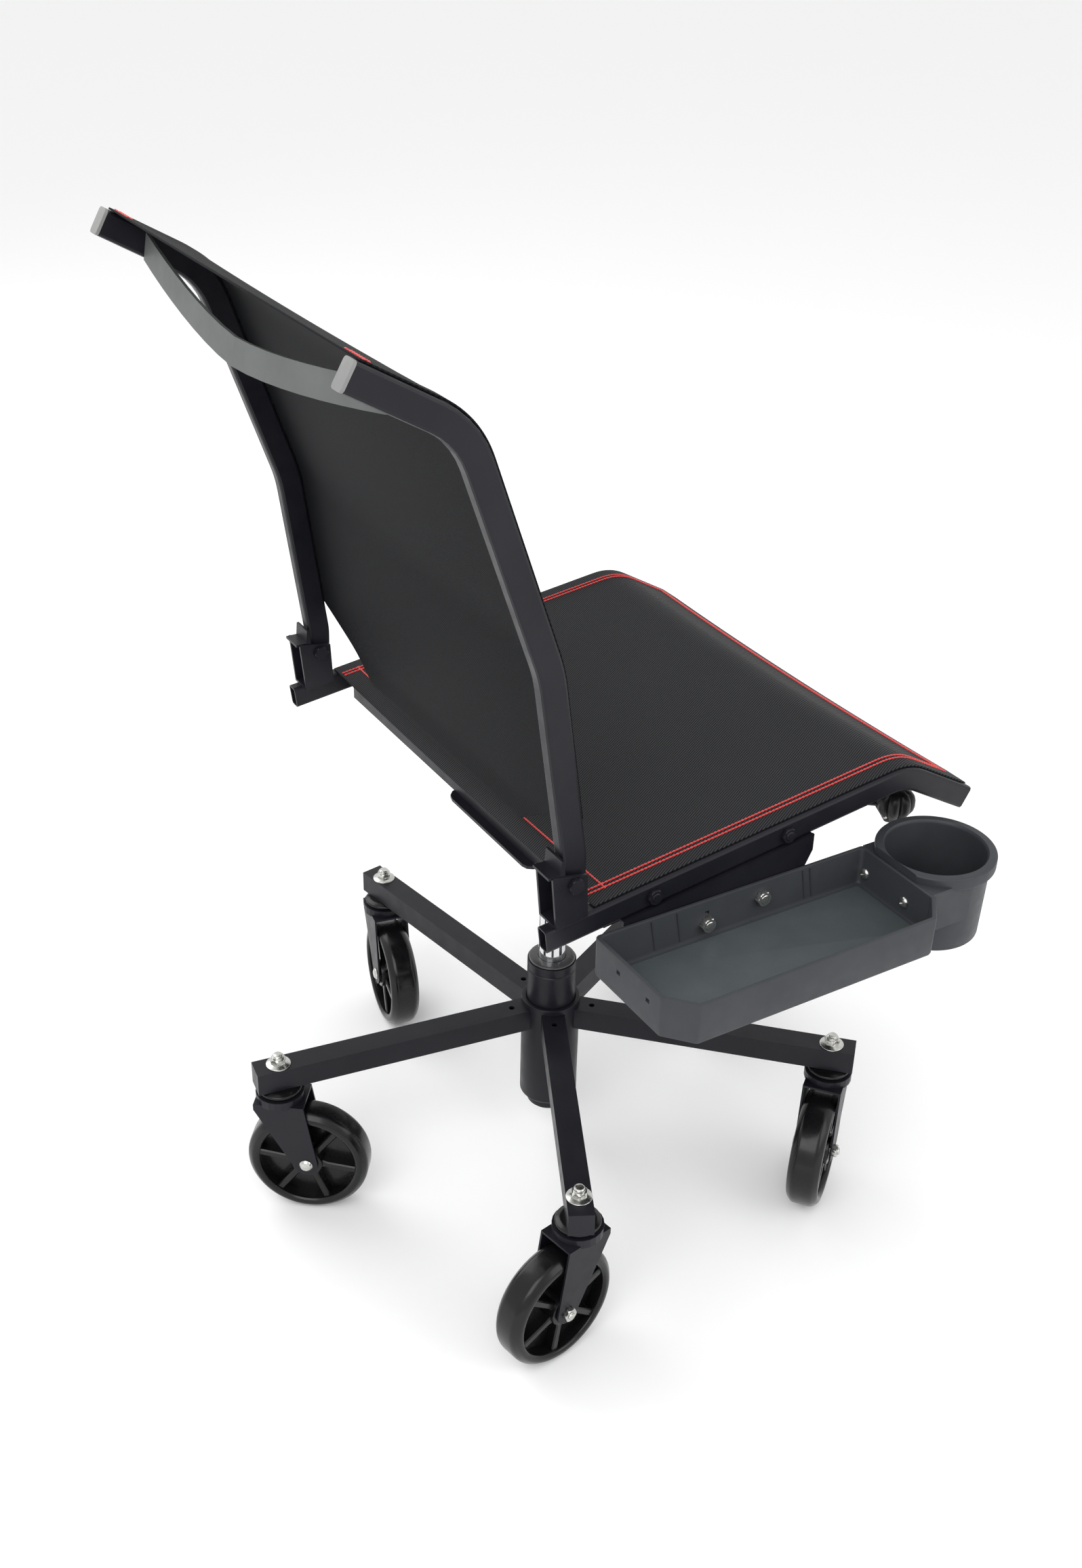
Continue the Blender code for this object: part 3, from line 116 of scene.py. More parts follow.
class NodeSheet:
    """A material's nodes, added and joined by short calls."""

    def __init__(self, name: str) -> None:
        """Starts a material with a Principled shader.

        Args:
            name: The material's name.
        """
        self.material = bpy.data.materials.new(name)
        self.material.use_nodes = True
        self.tree = self.material.node_tree
        self.shader = self.tree.nodes["Principled BSDF"]
        self.place = self.add("ShaderNodeTexCoord").outputs["Object"]

    def add(self, kind: str, **settings: object) -> bpy.types.Node:
        """Adds a node.

        Args:
            kind: The node's type.
            **settings: Its attributes, or the defaults of its inputs.

        Returns:
            The node.
        """
        node = self.tree.nodes.new(kind)
        for key, value in settings.items():
            if hasattr(node, key):
                setattr(node, key, value)
            else:
                node.inputs[key].default_value = value
        return node

    def join(self, source: bpy.types.NodeSocket, target: bpy.types.NodeSocket) -> None:
        """Joins an output to an input."""
        self.tree.links.new(source, target)

    def noise(self, scale: float, detail: float = 3.0) -> bpy.types.NodeSocket:
        """A noise over the piece, in the object's own coordinates.

        Args:
            scale: Features in each metre.
            detail: Octaves.

        Returns:
            The noise's value, from 0 to 1.
        """
        node = self.add("ShaderNodeTexNoise", Scale=scale, Detail=detail)
        self.join(self.place, node.inputs["Vector"])
        return node.outputs["Fac"]

    def spread(
        self, value: bpy.types.NodeSocket, low: float, high: float, start: float = 0.3, end: float = 0.7,
    ) -> bpy.types.NodeSocket:
        """Maps a value's middle stretch to a range.

        Args:
            value: The value.
            low: What start becomes.
            high: What end becomes.
            start: Where the stretch starts.
            end: Where it ends.

        Returns:
            The mapped value.
        """
        node = self.add("ShaderNodeMapRange")
        for key, number in (("From Min", start), ("From Max", end), ("To Min", low), ("To Max", high)):
            node.inputs[key].default_value = number
        self.join(value, node.inputs["Value"])
        return node.outputs["Result"]

    def sums(self, operation: str, first: object, second: object) -> bpy.types.NodeSocket:
        """Does one sum on two values or numbers.

        Args:
            operation: The sum's name.
            first: A value or a number.
            second: Another.

        Returns:
            The result.
        """
        node = self.add("ShaderNodeMath", operation=operation)
        for socket, value in zip(node.inputs, (first, second)):
            if isinstance(value, bpy.types.NodeSocket):
                self.join(value, socket)
            else:
                socket.default_value = value
        return node.outputs["Value"]

    def blend(self, share: bpy.types.NodeSocket, first: Colour, second: Colour) -> bpy.types.NodeSocket:
        """Mixes two colours by a share.

        Args:
            share: From 0 for the first colour to 1 for the second.
            first: A colour.
            second: Another.

        Returns:
            The mixed colour.
        """
        node = self.add("ShaderNodeMix", data_type="RGBA")
        self.join(share, node.inputs["Factor"])
        node.inputs["A"].default_value = (*first, 1)
        node.inputs["B"].default_value = (*second, 1)
        return next(out for out in node.outputs if out.type == "RGBA")

    def tint(self, share: bpy.types.NodeSocket, first: Colour, second: Colour) -> None:
        """Colours the surface between two colours."""
        self.join(self.blend(share, first, second), self.shader.inputs["Base Color"])

    def roughen(self, roughness: bpy.types.NodeSocket) -> None:
        """Gives the surface its roughness."""
        self.join(roughness, self.shader.inputs["Roughness"])

    def bump(self, height: bpy.types.NodeSocket, distance: float) -> None:
        """Raises the surface by a height, in metres at most.

        Args:
            height: From 0 to 1 over the surface.
            distance: What a height of 1 is, in metres.
        """
        node = self.add("ShaderNodeBump", Distance=distance, Strength=1.0)
        self.join(height, node.inputs["Height"])
        self.join(node.outputs["Normal"], self.shader.inputs["Normal"])

    def set(self, **values: object) -> None:
        """Sets values on the shader's own sockets. An underscore stands for a space."""
        for key, value in values.items():
            self.shader.inputs[key.replace("_", " ")].default_value = value


@dataclass(frozen=True)
class PowderCoat:
    """A satin powder coat on steel, with its orange peel and faint rubbed patches."""

    name: str = "satin_black_coat"
    colour: Colour = (0.0060, 0.0060, 0.0095)
    rubbed: Colour = (0.0100, 0.0100, 0.0140)
    roughness: Span = (0.34, 0.46)
    shine: float = 0.22
    peel: float = 0.00005
    peel_scale: float = 650.0
    patch_scale: float = 14.0
    sheen_scale: float = 60.0
    coat: float = 0.06
    coat_roughness: float = 0.2

    def material(self) -> bpy.types.Material:
        """Builds the coat.

        Returns:
            Its material.
        """
        sheet = NodeSheet(self.name)
        sheet.tint(sheet.spread(sheet.noise(self.patch_scale), 0.0, 1.0), self.colour, self.rubbed)
        sheet.roughen(sheet.spread(sheet.noise(self.sheen_scale), *self.roughness))
        sheet.bump(sheet.noise(self.peel_scale, FINE_DETAIL), self.peel)
        sheet.set(Coat_Weight=self.coat, Coat_Roughness=self.coat_roughness, Specular_IOR_Level=self.shine)
        return sheet.material


@dataclass(frozen=True)
class PlatedSteel:
    """Bright zinc or chrome with a slight haze."""

    name: str = "bright_zinc"
    colour: Colour = (0.62, 0.62, 0.60)
    hazed: Colour = (0.50, 0.50, 0.47)
    roughness: Span = (0.16, 0.34)
    haze_scale: float = 220.0

    def material(self) -> bpy.types.Material:
        """Builds the plating.

        Returns:
            Its material.
        """
        sheet = NodeSheet(self.name)
        haze = sheet.noise(self.haze_scale)
        sheet.tint(sheet.spread(haze, 0.0, 1.0), self.colour, self.hazed)
        sheet.roughen(sheet.spread(haze, *self.roughness))
        sheet.set(Metallic=1.0)
        return sheet.material


@dataclass(frozen=True)
class MouldedPlastic:
    """A moulded plastic, with its fine grain and faint flow marks."""

    name: str
    colour: Colour
    marked: Colour
    roughness: Span
    grain: float
    grain_scale: float = 1400.0
    coat: float = 0.0
    shine: float = 0.3
    mark_scale: float = 22.0
    sheen_scale: float = 90.0
    coat_roughness: float = 0.12

    def material(self) -> bpy.types.Material:
        """Builds the plastic.

        Returns:
            Its material.
        """
        sheet = NodeSheet(self.name)
        marks = sheet.spread(sheet.noise(self.mark_scale, ROUGH_DETAIL), 0.0, 1.0)
        sheet.tint(marks, self.colour, self.marked)
        sheet.roughen(sheet.spread(sheet.noise(self.sheen_scale), *self.roughness))
        sheet.bump(sheet.noise(self.grain_scale, FINE_DETAIL), self.grain)
        sheet.set(Coat_Weight=self.coat, Coat_Roughness=self.coat_roughness, Specular_IOR_Level=self.shine)
        return sheet.material


@dataclass(frozen=True)
class WovenMesh:
    """Coated twill mesh: diagonal ribs crossed by fine threads, in metres along the cloth's own map, with painted
    shade in the weave's hollows.
    """

    name: str = "twill_mesh"
    thread: Colour = (0.040, 0.041, 0.044)
    # gap: painted shade, the dark colour that the weave's hollows and holes are drawn in
    gap: Colour = (0.0022, 0.0024, 0.0030)
    relief: float = 0.00028
    shine: float = 0.10
    rib_pitch: float = 0.0024
    thread_pitch: float = 0.0011
    slant: float = -0.52
    rib_share: float = 0.65
    shown: Span = (0.25, 0.95)
    roughness: Span = (0.72, 0.48)
    smoothed: Span = (0.2, 1.0)
    dust_scale: float = 9.0
    dust: Span = (0.86, 1.0)

    def material(self) -> bpy.types.Material:
        """Builds the cloth.

        Returns:
            Its material.
        """
        sheet = NodeSheet(self.name)
        cloth = sheet.add("ShaderNodeUVMap", uv_map=CLOTH_MAP).outputs["UV"]
        parts = sheet.add("ShaderNodeSeparateXYZ")
        sheet.join(cloth, parts.inputs["Vector"])
        across, along = parts.outputs["X"], parts.outputs["Y"]
        slant = sheet.sums("ADD", across, sheet.sums("MULTIPLY", along, self.slant))
        rib = self.wave(sheet, slant, self.rib_pitch)
        warp, weft = (self.wave(sheet, way, self.thread_pitch) for way in (across, along))
        threads = sheet.sums("MULTIPLY", sheet.sums("MAXIMUM", warp, weft), 1 - self.rib_share)
        height = sheet.sums("ADD", sheet.sums("MULTIPLY", rib, self.rib_share), threads)
        dust = sheet.spread(sheet.noise(self.dust_scale, ROUGH_DETAIL), *self.dust)
        share = sheet.sums("MULTIPLY", sheet.spread(height, 0.0, 1.0, *self.shown), dust)
        # Painted shade: the lower the weave, the nearer its colour is to the dark gap colour
        sheet.tint(share, self.gap, self.thread)
        sheet.roughen(sheet.spread(height, *self.roughness, *self.smoothed))
        sheet.bump(height, self.relief)
        sheet.set(Specular_IOR_Level=self.shine)
        return sheet.material

    @staticmethod
    def wave(sheet: NodeSheet, value: bpy.types.NodeSocket, pitch: float) -> bpy.types.NodeSocket:
        """A wave from 0 to 1 with a pitch in metres."""
        turned_value = sheet.sums("SINE", sheet.sums("MULTIPLY", value, math.tau / pitch), 0.0)
        return sheet.sums("ADD", sheet.sums("MULTIPLY", turned_value, 0.5), 0.5)


@dataclass(frozen=True)
class SewingThread:
    """Polyester thread, with its twist."""

    name: str = "red_thread"
    colour: Colour = (0.72, 0.022, 0.018)
    shade: Colour = (0.46, 0.012, 0.010)
    twist_scale: float = 1800.0
    twist: float = 0.0001
    roughness: float = 0.55
    sheen: float = 0.3

    def material(self) -> bpy.types.Material:
        """Builds the thread.

        Returns:
            Its material.
        """
        sheet = NodeSheet(self.name)
        twist = sheet.noise(self.twist_scale)
        sheet.tint(sheet.spread(twist, 0.0, 1.0), self.colour, self.shade)
        sheet.bump(twist, self.twist)
        sheet.set(Roughness=self.roughness, Sheen_Weight=self.sheen)
        return sheet.material


class Finish(Enum):
    """The seat's finishes. Each makes its material when it is first asked for."""

    BLACK = PowderCoat()
    GREY = PowderCoat("satin_grey_coat", (0.095, 0.102, 0.100), (0.118, 0.126, 0.124), (0.42, 0.52))
    ZINC = PlatedSteel()
    CHROME = PlatedSteel("bright_chrome", (0.78, 0.79, 0.80), (0.70, 0.71, 0.73), (0.05, 0.10), 40.0)
    SLATE = MouldedPlastic(
        "slate_plastic", (0.030, 0.033, 0.038), (0.036, 0.039, 0.044), (0.46, 0.56), 0.00006)
    # A lighter copy of the tray's plastic for its floor: painted light where the floor faces up to the lamps
    TRAY_FLOOR = MouldedPlastic(
        "tray_floor_plastic", (0.062, 0.074, 0.078), (0.074, 0.087, 0.091), (0.46, 0.58), 0.00005)
    GLOSS = MouldedPlastic(
        "wheel_plastic", (0.0035, 0.0035, 0.0040), (0.0055, 0.0055, 0.0062), (0.20, 0.30), 0.00003, 300.0,
        coat=0.1, shine=0.28)
    GRIP = MouldedPlastic(
        "grip_plastic", (0.012, 0.012, 0.013), (0.017, 0.017, 0.018), (0.32, 0.42), 0.00004)
    BUSH = MouldedPlastic(
        "bushing_plastic", (0.045, 0.045, 0.047), (0.055, 0.055, 0.057), (0.22, 0.30), 0.00003, coat=0.3)
    CAP = MouldedPlastic("cap_plastic", (0.20, 0.20, 0.20), (0.25, 0.25, 0.24), (0.45, 0.55), 0.00004)
    CLOTH = WovenMesh()
    # The back's copy of the seat's twill mesh, with its thread painted darker: painted shade on the upright back
    CLOTH_BACK = WovenMesh(
        "twill_mesh_back", (0.0100, 0.0105, 0.0120), (0.0032, 0.0034, 0.0042), relief=0.00014, shine=0.06)
    THREAD = SewingThread()

    @functools.cache
    def material(self) -> bpy.types.Material:
        """The finish's material, made once."""
        return self.value.material()


# --- Making pieces ------------------------------------------------------------------------------------


class Cut(Enum):
    """What a Boolean does with its tool."""

    UNION = "adds it"
    DIFFERENCE = "takes it away"


def linked(name: str, data: bpy.types.ID) -> bpy.types.Object:
    """Puts an object of some data into the scene.

    Args:
        name: The object's name.
        data: A mesh, a light or a camera.

    Returns:
        The object.
    """
    obj = bpy.data.objects.new(name, data)
    bpy.context.scene.collection.objects.link(obj)
    return obj


def settle(
    name: str,
    bm: bmesh.types.BMesh,
    finish: Finish,
    body: str,
    replaces: Sequence[str] = (),
    sharp_deg: float = 32.0,
) -> bpy.types.Object:
    """Makes a finished piece of a mesh that is already in its place.

    Args:
        name: The piece's name.
        bm: Its mesh, which is freed.
        finish: Its finish.
        body: The body it moves with.
        replaces: The frame's nodes that it stands for.
        sharp_deg: Edges sharper than this stay crisp.

    Returns:
        The piece.
    """
    mesh = bpy.data.meshes.new(name)
    bm.to_mesh(mesh)
    bm.free()
    mesh.shade_smooth()
    mesh.set_sharp_from_angle(angle=math.radians(sharp_deg))
    mesh.materials.append(finish.material())
    piece = linked(name, mesh)
    hand_over(piece, body, replaces)
    return piece


def hand_over(piece: bpy.types.Object, body: str, replaces: Sequence[str] = ()) -> None:
    """Parents a piece to its body's empty and hides the frame's nodes that it replaces.

    Args:
        piece: The piece.
        body: The body it moves with.
        replaces: The frame's nodes that it stands for.
    """
    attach(piece, body)
    if replaces:
        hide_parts(*replaces)
    LOG.info("%s: %d faces on %s", piece.name, len(piece.data.polygons), body)


def facing_out(bm: bmesh.types.BMesh) -> bmesh.types.BMesh:
    """The same mesh with its faces outwards.

    Args:
        bm: A closed mesh.

    Returns:
        The mesh.
    """
    bmesh.ops.recalc_face_normals(bm, faces=bm.faces)
    if bm.calc_volume(signed=True) < 0:
        bmesh.ops.reverse_faces(bm, faces=bm.faces)
    return bm


def join_rings(bm: bmesh.types.BMesh, low: list, high: list, closed: bool = True) -> None:
    """Faces between two rings or rows of vertices, one of which may be a single vertex.

    Args:
        bm: The mesh.
        low: One ring's vertices.
        high: The other's.
        closed: Whether the rings close on themselves.
    """
    count = max(len(low), len(high))
    for i in range(count if closed else count - 1):
        j = (i + 1) % count
        corners = (low[i % len(low)], low[j % len(low)], high[j % len(high)], high[i % len(high)])
        bm.faces.new(list(dict.fromkeys(corners)))


def skin(rings: Sequence[Sequence[Sequence[float]]], loop: bool = False) -> bmesh.types.BMesh:
    """A closed body through rings of points, with flat ends, or joined end to end when loop is set.

    Args:
        rings: The rings, in order.
        loop: Whether the last ring joins the first.

    Returns:
        The body's mesh.
    """
    bm = bmesh.new()
    rows = [[bm.verts.new(point) for point in ring] for ring in rings]
    for low, high in zip(rows, rows[1:] + rows[:1] if loop else rows[1:]):
        join_rings(bm, low, high)
    if not loop:
        for row in (rows[0], rows[-1]):
            if len(row) > 2:
                bm.faces.new(row)
    return facing_out(bm)


def circle(radius: float, height: float, sides: int) -> list[Point]:
    """A ring about Z, or its middle point when the radius is 0.

    Args:
        radius: The ring's radius.
        height: Its height.
        sides: Its sides.

    Returns:
        Its points.
    """
    if radius <= 0:
        return [(0.0, 0.0, height)]
    steps = (math.tau * i / sides for i in range(sides))
    return [(radius * math.cos(a), radius * math.sin(a), height) for a in steps]


def raised(profile: Profile, height: float) -> list[tuple[float, float]]:
    """The same profile, moved up by a height."""
    return [(radius, height + level) for radius, level in profile]


def softened(profile: Profile, radius: float, steps: int = 3) -> list[tuple[float, float]]:
    """A profile with every inner corner rounded.

    Args:
        profile: (radius, height) points.
        radius: The most that a corner is rounded by.
        steps: Straight steps in each arc.

    Returns:
        The rounded profile.
    """
    most = 0.45  # of a straight stretch, that one corner may take up
    points = [Vector(point) for point in profile]
    result = [tuple(points[0])]
    for before, corner, after in zip(points, points[1:], points[2:]):
        reach = min(radius, (corner - before).length * most, (after - corner).length * most)
        start = corner + (before - corner).normalized() * reach
        end = corner + (after - corner).normalized() * reach
        for i in range(steps + 1):
            t = i / steps
            result.append(tuple(start * (1 - t) ** 2 + corner * 2 * t * (1 - t) + end * t ** 2))
    return result + [tuple(points[-1])]


def turned(profile: Profile, sides: int = 64) -> bmesh.types.BMesh:
    """A body turned about Z: solid when its profile starts on the axis, and a ring when it doesn't."""
    return skin([circle(radius, height, sides) for radius, height in profile], loop=profile[0][0] > 0)


def placed(bm: bmesh.types.BMesh, place: Matrix) -> bmesh.types.BMesh:
    """The same mesh, moved and turned."""
    bm.transform(place)
    return facing_out(bm)


def joined(*meshes: bmesh.types.BMesh) -> bmesh.types.BMesh:
    """Several meshes as one, without merging them.

    Args:
        *meshes: The meshes, which are used up.

    Returns:
        The whole.
    """
    whole = meshes[0]
    for other in meshes[1:]:
        scratch = bpy.data.meshes.new("scratch")
        other.to_mesh(scratch)
        other.free()
        whole.from_mesh(scratch)
        bpy.data.meshes.remove(scratch)
    return whole


def combined(first: bmesh.types.BMesh, second: bmesh.types.BMesh, cut: Cut) -> bmesh.types.BMesh:
    """A Boolean of two closed meshes.

    Args:
        first: The mesh that is worked on.
        second: The tool.
        cut: What is done with the tool.

    Returns:
        The result.
    """
    objects = []
    for bm in (first, second):
        mesh = bpy.data.meshes.new("scratch")
        bm.to_mesh(mesh)
        bm.free()
        objects.append(linked("scratch", mesh))
    modifier = objects[0].modifiers.new("cut", "BOOLEAN")
    modifier.operation, modifier.solver, modifier.object = cut.name, "EXACT", objects[1]
    graph = bpy.context.evaluated_depsgraph_get()
    result = bmesh.new()
    result.from_object(objects[0], graph)
    for obj in objects:
        bpy.data.objects.remove(obj, do_unlink=True)
    return result


def lofted_box(low: Sequence[float], high: Sequence[float]) -> bmesh.types.BMesh:
    """A block between two corners, for cuts."""
    (x0, y0, z0), (x1, y1, z1) = low, high
    return skin([[(x0, y0, z), (x1, y0, z), (x1, y1, z), (x0, y1, z)] for z in (z0, z1)])


def facing(direction: Sequence[float], place: Vector) -> Matrix:
    """The place of a piece made along +Z that has to point another way."""
    turn = Vector((0, 0, 1)).rotation_difference(Vector(direction)).to_matrix().to_4x4()
    return Matrix.Translation(place) @ turn


# --- Geometry node trees ------------------------------------------------------------------------------


class NodeTree:
    """A Geometry Nodes tree with named inputs, whose result becomes a plain mesh."""

    def __init__(self, name: str, sizes: dict[str, float]) -> None:
        """Starts a tree.

        Args:
            name: The tree's name.
            sizes: Its named inputs and their values.
        """
        self.tree = bpy.data.node_groups.new(name, "GeometryNodeTree")
        interface = self.tree.interface
        interface.new_socket("Geometry", in_out="INPUT", socket_type="NodeSocketGeometry")
        self.keys: dict[str, str] = {}
        self.sizes = sizes
        for key in sizes:
            socket = interface.new_socket(key, in_out="INPUT", socket_type="NodeSocketFloat")
            self.keys[key] = socket.identifier
        interface.new_socket("Geometry", in_out="OUTPUT", socket_type="NodeSocketGeometry")
        self.start = self.tree.nodes.new("NodeGroupInput")
        self.end = self.tree.nodes.new("NodeGroupOutput")

    def add(self, kind: str, links: dict[str, object] | None = None, **settings: object) -> bpy.types.Node:
        """Adds a node.

        Args:
            kind: The node's type.
            links: What goes into its inputs: sockets or values.
            **settings: Its attributes.

        Returns:
            The node.
        """
        node = self.tree.nodes.new(kind)
        for key, value in settings.items():
            setattr(node, key, value)
        for key, value in (links or {}).items():
            if isinstance(value, bpy.types.NodeSocket):
                self.tree.links.new(value, node.inputs[key])
            else:
                node.inputs[key].default_value = value
        return node

    def size(self, key: str) -> bpy.types.NodeSocket:
        """The output that carries one named input."""
        return self.start.outputs[key]

    def close(self, geometry: bpy.types.NodeSocket, material: bpy.types.Material) -> None:
        """Ends the tree in Realize Instances and Set Material.

        Args:
            geometry: What the tree has made.
            material: Its finish.
        """
        real = self.add("GeometryNodeRealizeInstances", {"Geometry": geometry})
        dressed = self.add(
            "GeometryNodeSetMaterial", {"Geometry": real.outputs["Geometry"], "Material": material})
        self.tree.links.new(dressed.outputs["Geometry"], self.end.inputs["Geometry"])

    def bake(self, name: str, guide: bpy.types.Mesh, material: bpy.types.Material) -> bpy.types.Object:
        """Runs the tree on a guide mesh.

        Args:
            name: The piece's name.
            guide: The mesh that goes in.
            material: The finish of the result.

        Returns:
            A plain mesh object.
        """
        carrier = linked(name, guide)
        modifier = carrier.modifiers.new(name, "NODES")
        modifier.node_group = self.tree
        for key, value in self.sizes.items():
            modifier[self.keys[key]] = value
        graph = bpy.context.evaluated_depsgraph_get()
        mesh = bpy.data.meshes.new_from_object(carrier.evaluated_get(graph))
        mesh.name = name
        bpy.data.objects.remove(carrier, do_unlink=True)
        if not mesh.materials:
            mesh.materials.append(material)
        return linked(name, mesh)


def line_mesh(name: str, lines: Sequence[Sequence[Sequence[float]]]) -> bpy.types.Mesh:
    """A mesh of edges only, one run for each line of points.

    Args:
        name: The mesh's name.
        lines: The lines.

    Returns:
        The mesh.
    """
    points: list[tuple[float, ...]] = []
    edges: list[tuple[int, int]] = []
    for line in lines:
        start = len(points)
        points += [tuple(point) for point in line]
        edges += [(start + i, start + i + 1) for i in range(len(line) - 1)]
    mesh = bpy.data.meshes.new(name)
    mesh.from_pydata(points, edges, [])
    return mesh


@dataclass
class StitchRow:
    """Stitches laid along lines, each a short rounded bar whose ends dip into the cloth."""

    pitch: float = 0.0036
    length: float = 0.0039
    thread: float = 0.0009
    facets: tuple[int, int] = (8, 6)

    def lay(self, name: str, lines: Sequence[Sequence[Sequence[float]]], body: str) -> bpy.types.Object:
        """Lays the stitches.

        Args:
            name: The piece's name.
            lines: Lines on the cloth's face.
            body: The body that they move with.

        Returns:
            The stitches.
        """
        tree = NodeTree(name, {"Pitch": self.pitch, "Stitch": self.length, "Thread": self.thread})
        curve = tree.add("GeometryNodeMeshToCurve", {"Mesh": tree.start.outputs["Geometry"]})
        even = tree.add(
            "GeometryNodeResampleCurve", {"Curve": curve.outputs["Curve"], "Length": tree.size("Pitch")},
            mode="LENGTH")
        ball = tree.add("GeometryNodeMeshUVSphere", {
            "Segments": self.facets[0], "Rings": self.facets[1], "Radius": 0.5})
        width = tree.add("ShaderNodeMath", {0: tree.size("Thread"), 1: 2.0}, operation="MULTIPLY")
        scale = tree.add(
            "ShaderNodeCombineXYZ", {"X": width.outputs[0], "Y": width.outputs[0], "Z": tree.size("Stitch")})
        bar = tree.add(
            "GeometryNodeTransform", {"Geometry": ball.outputs["Mesh"], "Scale": scale.outputs["Vector"]})
        along = tree.add("GeometryNodeInputTangent")
        aim = tree.add("FunctionNodeAlignRotationToVector", {"Vector": along.outputs["Tangent"]}, axis="Z")
        laid = tree.add("GeometryNodeInstanceOnPoints", {
            "Points": even.outputs["Curve"], "Instance": bar.outputs["Geometry"],
            "Rotation": aim.outputs["Rotation"]})
        thread = Finish.THREAD.material()
        tree.close(laid.outputs["Instances"], thread)
        piece = tree.bake(name, line_mesh(f"{name}_guide", lines), thread)
        piece.data.shade_smooth()
        hand_over(piece, body)
        return piece


@dataclass
class SpokeRing:
    """Spokes set evenly about a wheel's axis."""

    outer: float
    inner: float = 0.013
    waist: float = 0.021
    count: int = 6
    width: float = 0.0065
    foot_share: float = 1.5
    rim_share: float = 1.15
    depth: float = 0.026
    bevel: float = 0.0012

    def spoke(self) -> bpy.types.Mesh:
        """One tapered spoke along +X, across the wheel's axis.

        Returns:
            Its mesh.
        """
        bevel, deep = self.bevel, self.depth / 2
        rings = []
        for reach, share in ((self.inner, self.foot_share), (self.waist, 1.0), (self.outer, self.rim_share)):
            half = self.width / 2 * share
            rings.append([
                (reach, -half, -deep + bevel), (reach, -half + bevel, -deep), (reach, half - bevel, -deep),
                (reach, half, -deep + bevel), (reach, half, deep - bevel), (reach, half - bevel, deep),
                (reach, -half + bevel, deep), (reach, -half, deep - bevel),
            ])
        mesh = bpy.data.meshes.new("spoke")
        bm = skin(rings)
        bm.to_mesh(mesh)
        bm.free()
        return mesh

    def ring(self, name: str, material: bpy.types.Material) -> bmesh.types.BMesh:
        """All the spokes about Z.

        Args:
            name: A name for the tree.
            material: The wheel's finish.

        Returns:
            Their mesh.
        """
        tree = NodeTree(name, {"Count": float(self.count)})
        whole = tree.add("FunctionNodeFloatToInt", {"Float": tree.size("Count")})
        points = tree.add("GeometryNodePoints", {"Count": whole.outputs["Integer"]})
        index = tree.add("GeometryNodeInputIndex")
        share = tree.add(
            "ShaderNodeMath", {0: index.outputs["Index"], 1: tree.size("Count")}, operation="DIVIDE")
        angle = tree.add("ShaderNodeMath", {0: share.outputs[0], 1: math.tau}, operation="MULTIPLY")
        turn = tree.add("ShaderNodeCombineXYZ", {"Z": angle.outputs[0]})
        laid = tree.add("GeometryNodeInstanceOnPoints", {
            "Points": points.outputs["Points"], "Instance": tree.start.outputs["Geometry"],
            "Rotation": turn.outputs["Vector"]})
        tree.close(laid.outputs["Instances"], material)
        piece = tree.bake(name, self.spoke(), material)
        bm = bmesh.new()
        bm.from_mesh(piece.data)
        bpy.data.objects.remove(piece, do_unlink=True)
        return bm


# --- Fasteners ----------------------------------------------------------------------------------------


@dataclass
class HexHead:
    """A hexagon nut or head with its corners chamfered."""

    across_flats: float
    height: float
    chamfer: float = 0.0008
    chamfer_drop: float = 0.55
    sides: int = 48

    def mesh(self, bottom: float = 0.0) -> bmesh.types.BMesh:
        """The head along Z.

        Args:
            bottom: The height it starts from.

        Returns:
            Its mesh.
        """
        drop = self.chamfer * self.chamfer_drop
        face = self.across_flats / 2 / math.cos(math.pi / 6) - self.chamfer
        levels = ((face, 0.0), (math.inf, drop), (math.inf, self.height - drop), (face, self.height))
        return skin([self.ring(limit, bottom + height) for limit, height in levels])

    def ring(self, limit: float, height: float) -> list[Point]:
        """A hexagon's outline.

        Args:
            limit: No point is further out than this.
            height: Its height.

        Returns:
            Its points.
        """
        points = []
        for i in range(self.sides):
            angle = math.tau * i / self.sides
            off = (angle + math.pi / 6) % (math.pi / 3) - math.pi / 6
            reach = min(self.across_flats / 2 / math.cos(off), limit)
            points.append((reach * math.cos(angle), reach * math.sin(angle), height))
        return points


# One turn of a thread and a bolt's tip, in shares of the radius and the pitch.
THREAD_TURN: Profile = ((1.0, 0.15), (1.0, 0.4), (0.88, 0.8))
THREAD_TIP: Profile = ((0.85, 0.3), (0.6, 0.6), (0.0, 0.6))
THREAD_SIDES = 24
SHANK_SIDES = 24
DOME_SIDES = 32


def threaded_end(radius: float, length: float, bottom: float, pitch: float = 0.0013) -> bmesh.types.BMesh:
    """A bolt's end with its threads, and a chamfered tip.

    Args:
        radius: The bolt's radius.
        length: The length of thread that shows.
        bottom: The height it starts from.
        pitch: The height of one turn.

    Returns:
        Its mesh.
    """
    turns = max(int(length / pitch), 1)
    shares = [(wide, i + high) for i in range(turns) for wide, high in THREAD_TURN]
    shares += [(wide, turns + high) for wide, high in THREAD_TIP]
    profile = [(0.0, bottom)] + [(radius * wide, bottom + pitch * high) for wide, high in shares]
    return turned(profile, THREAD_SIDES)


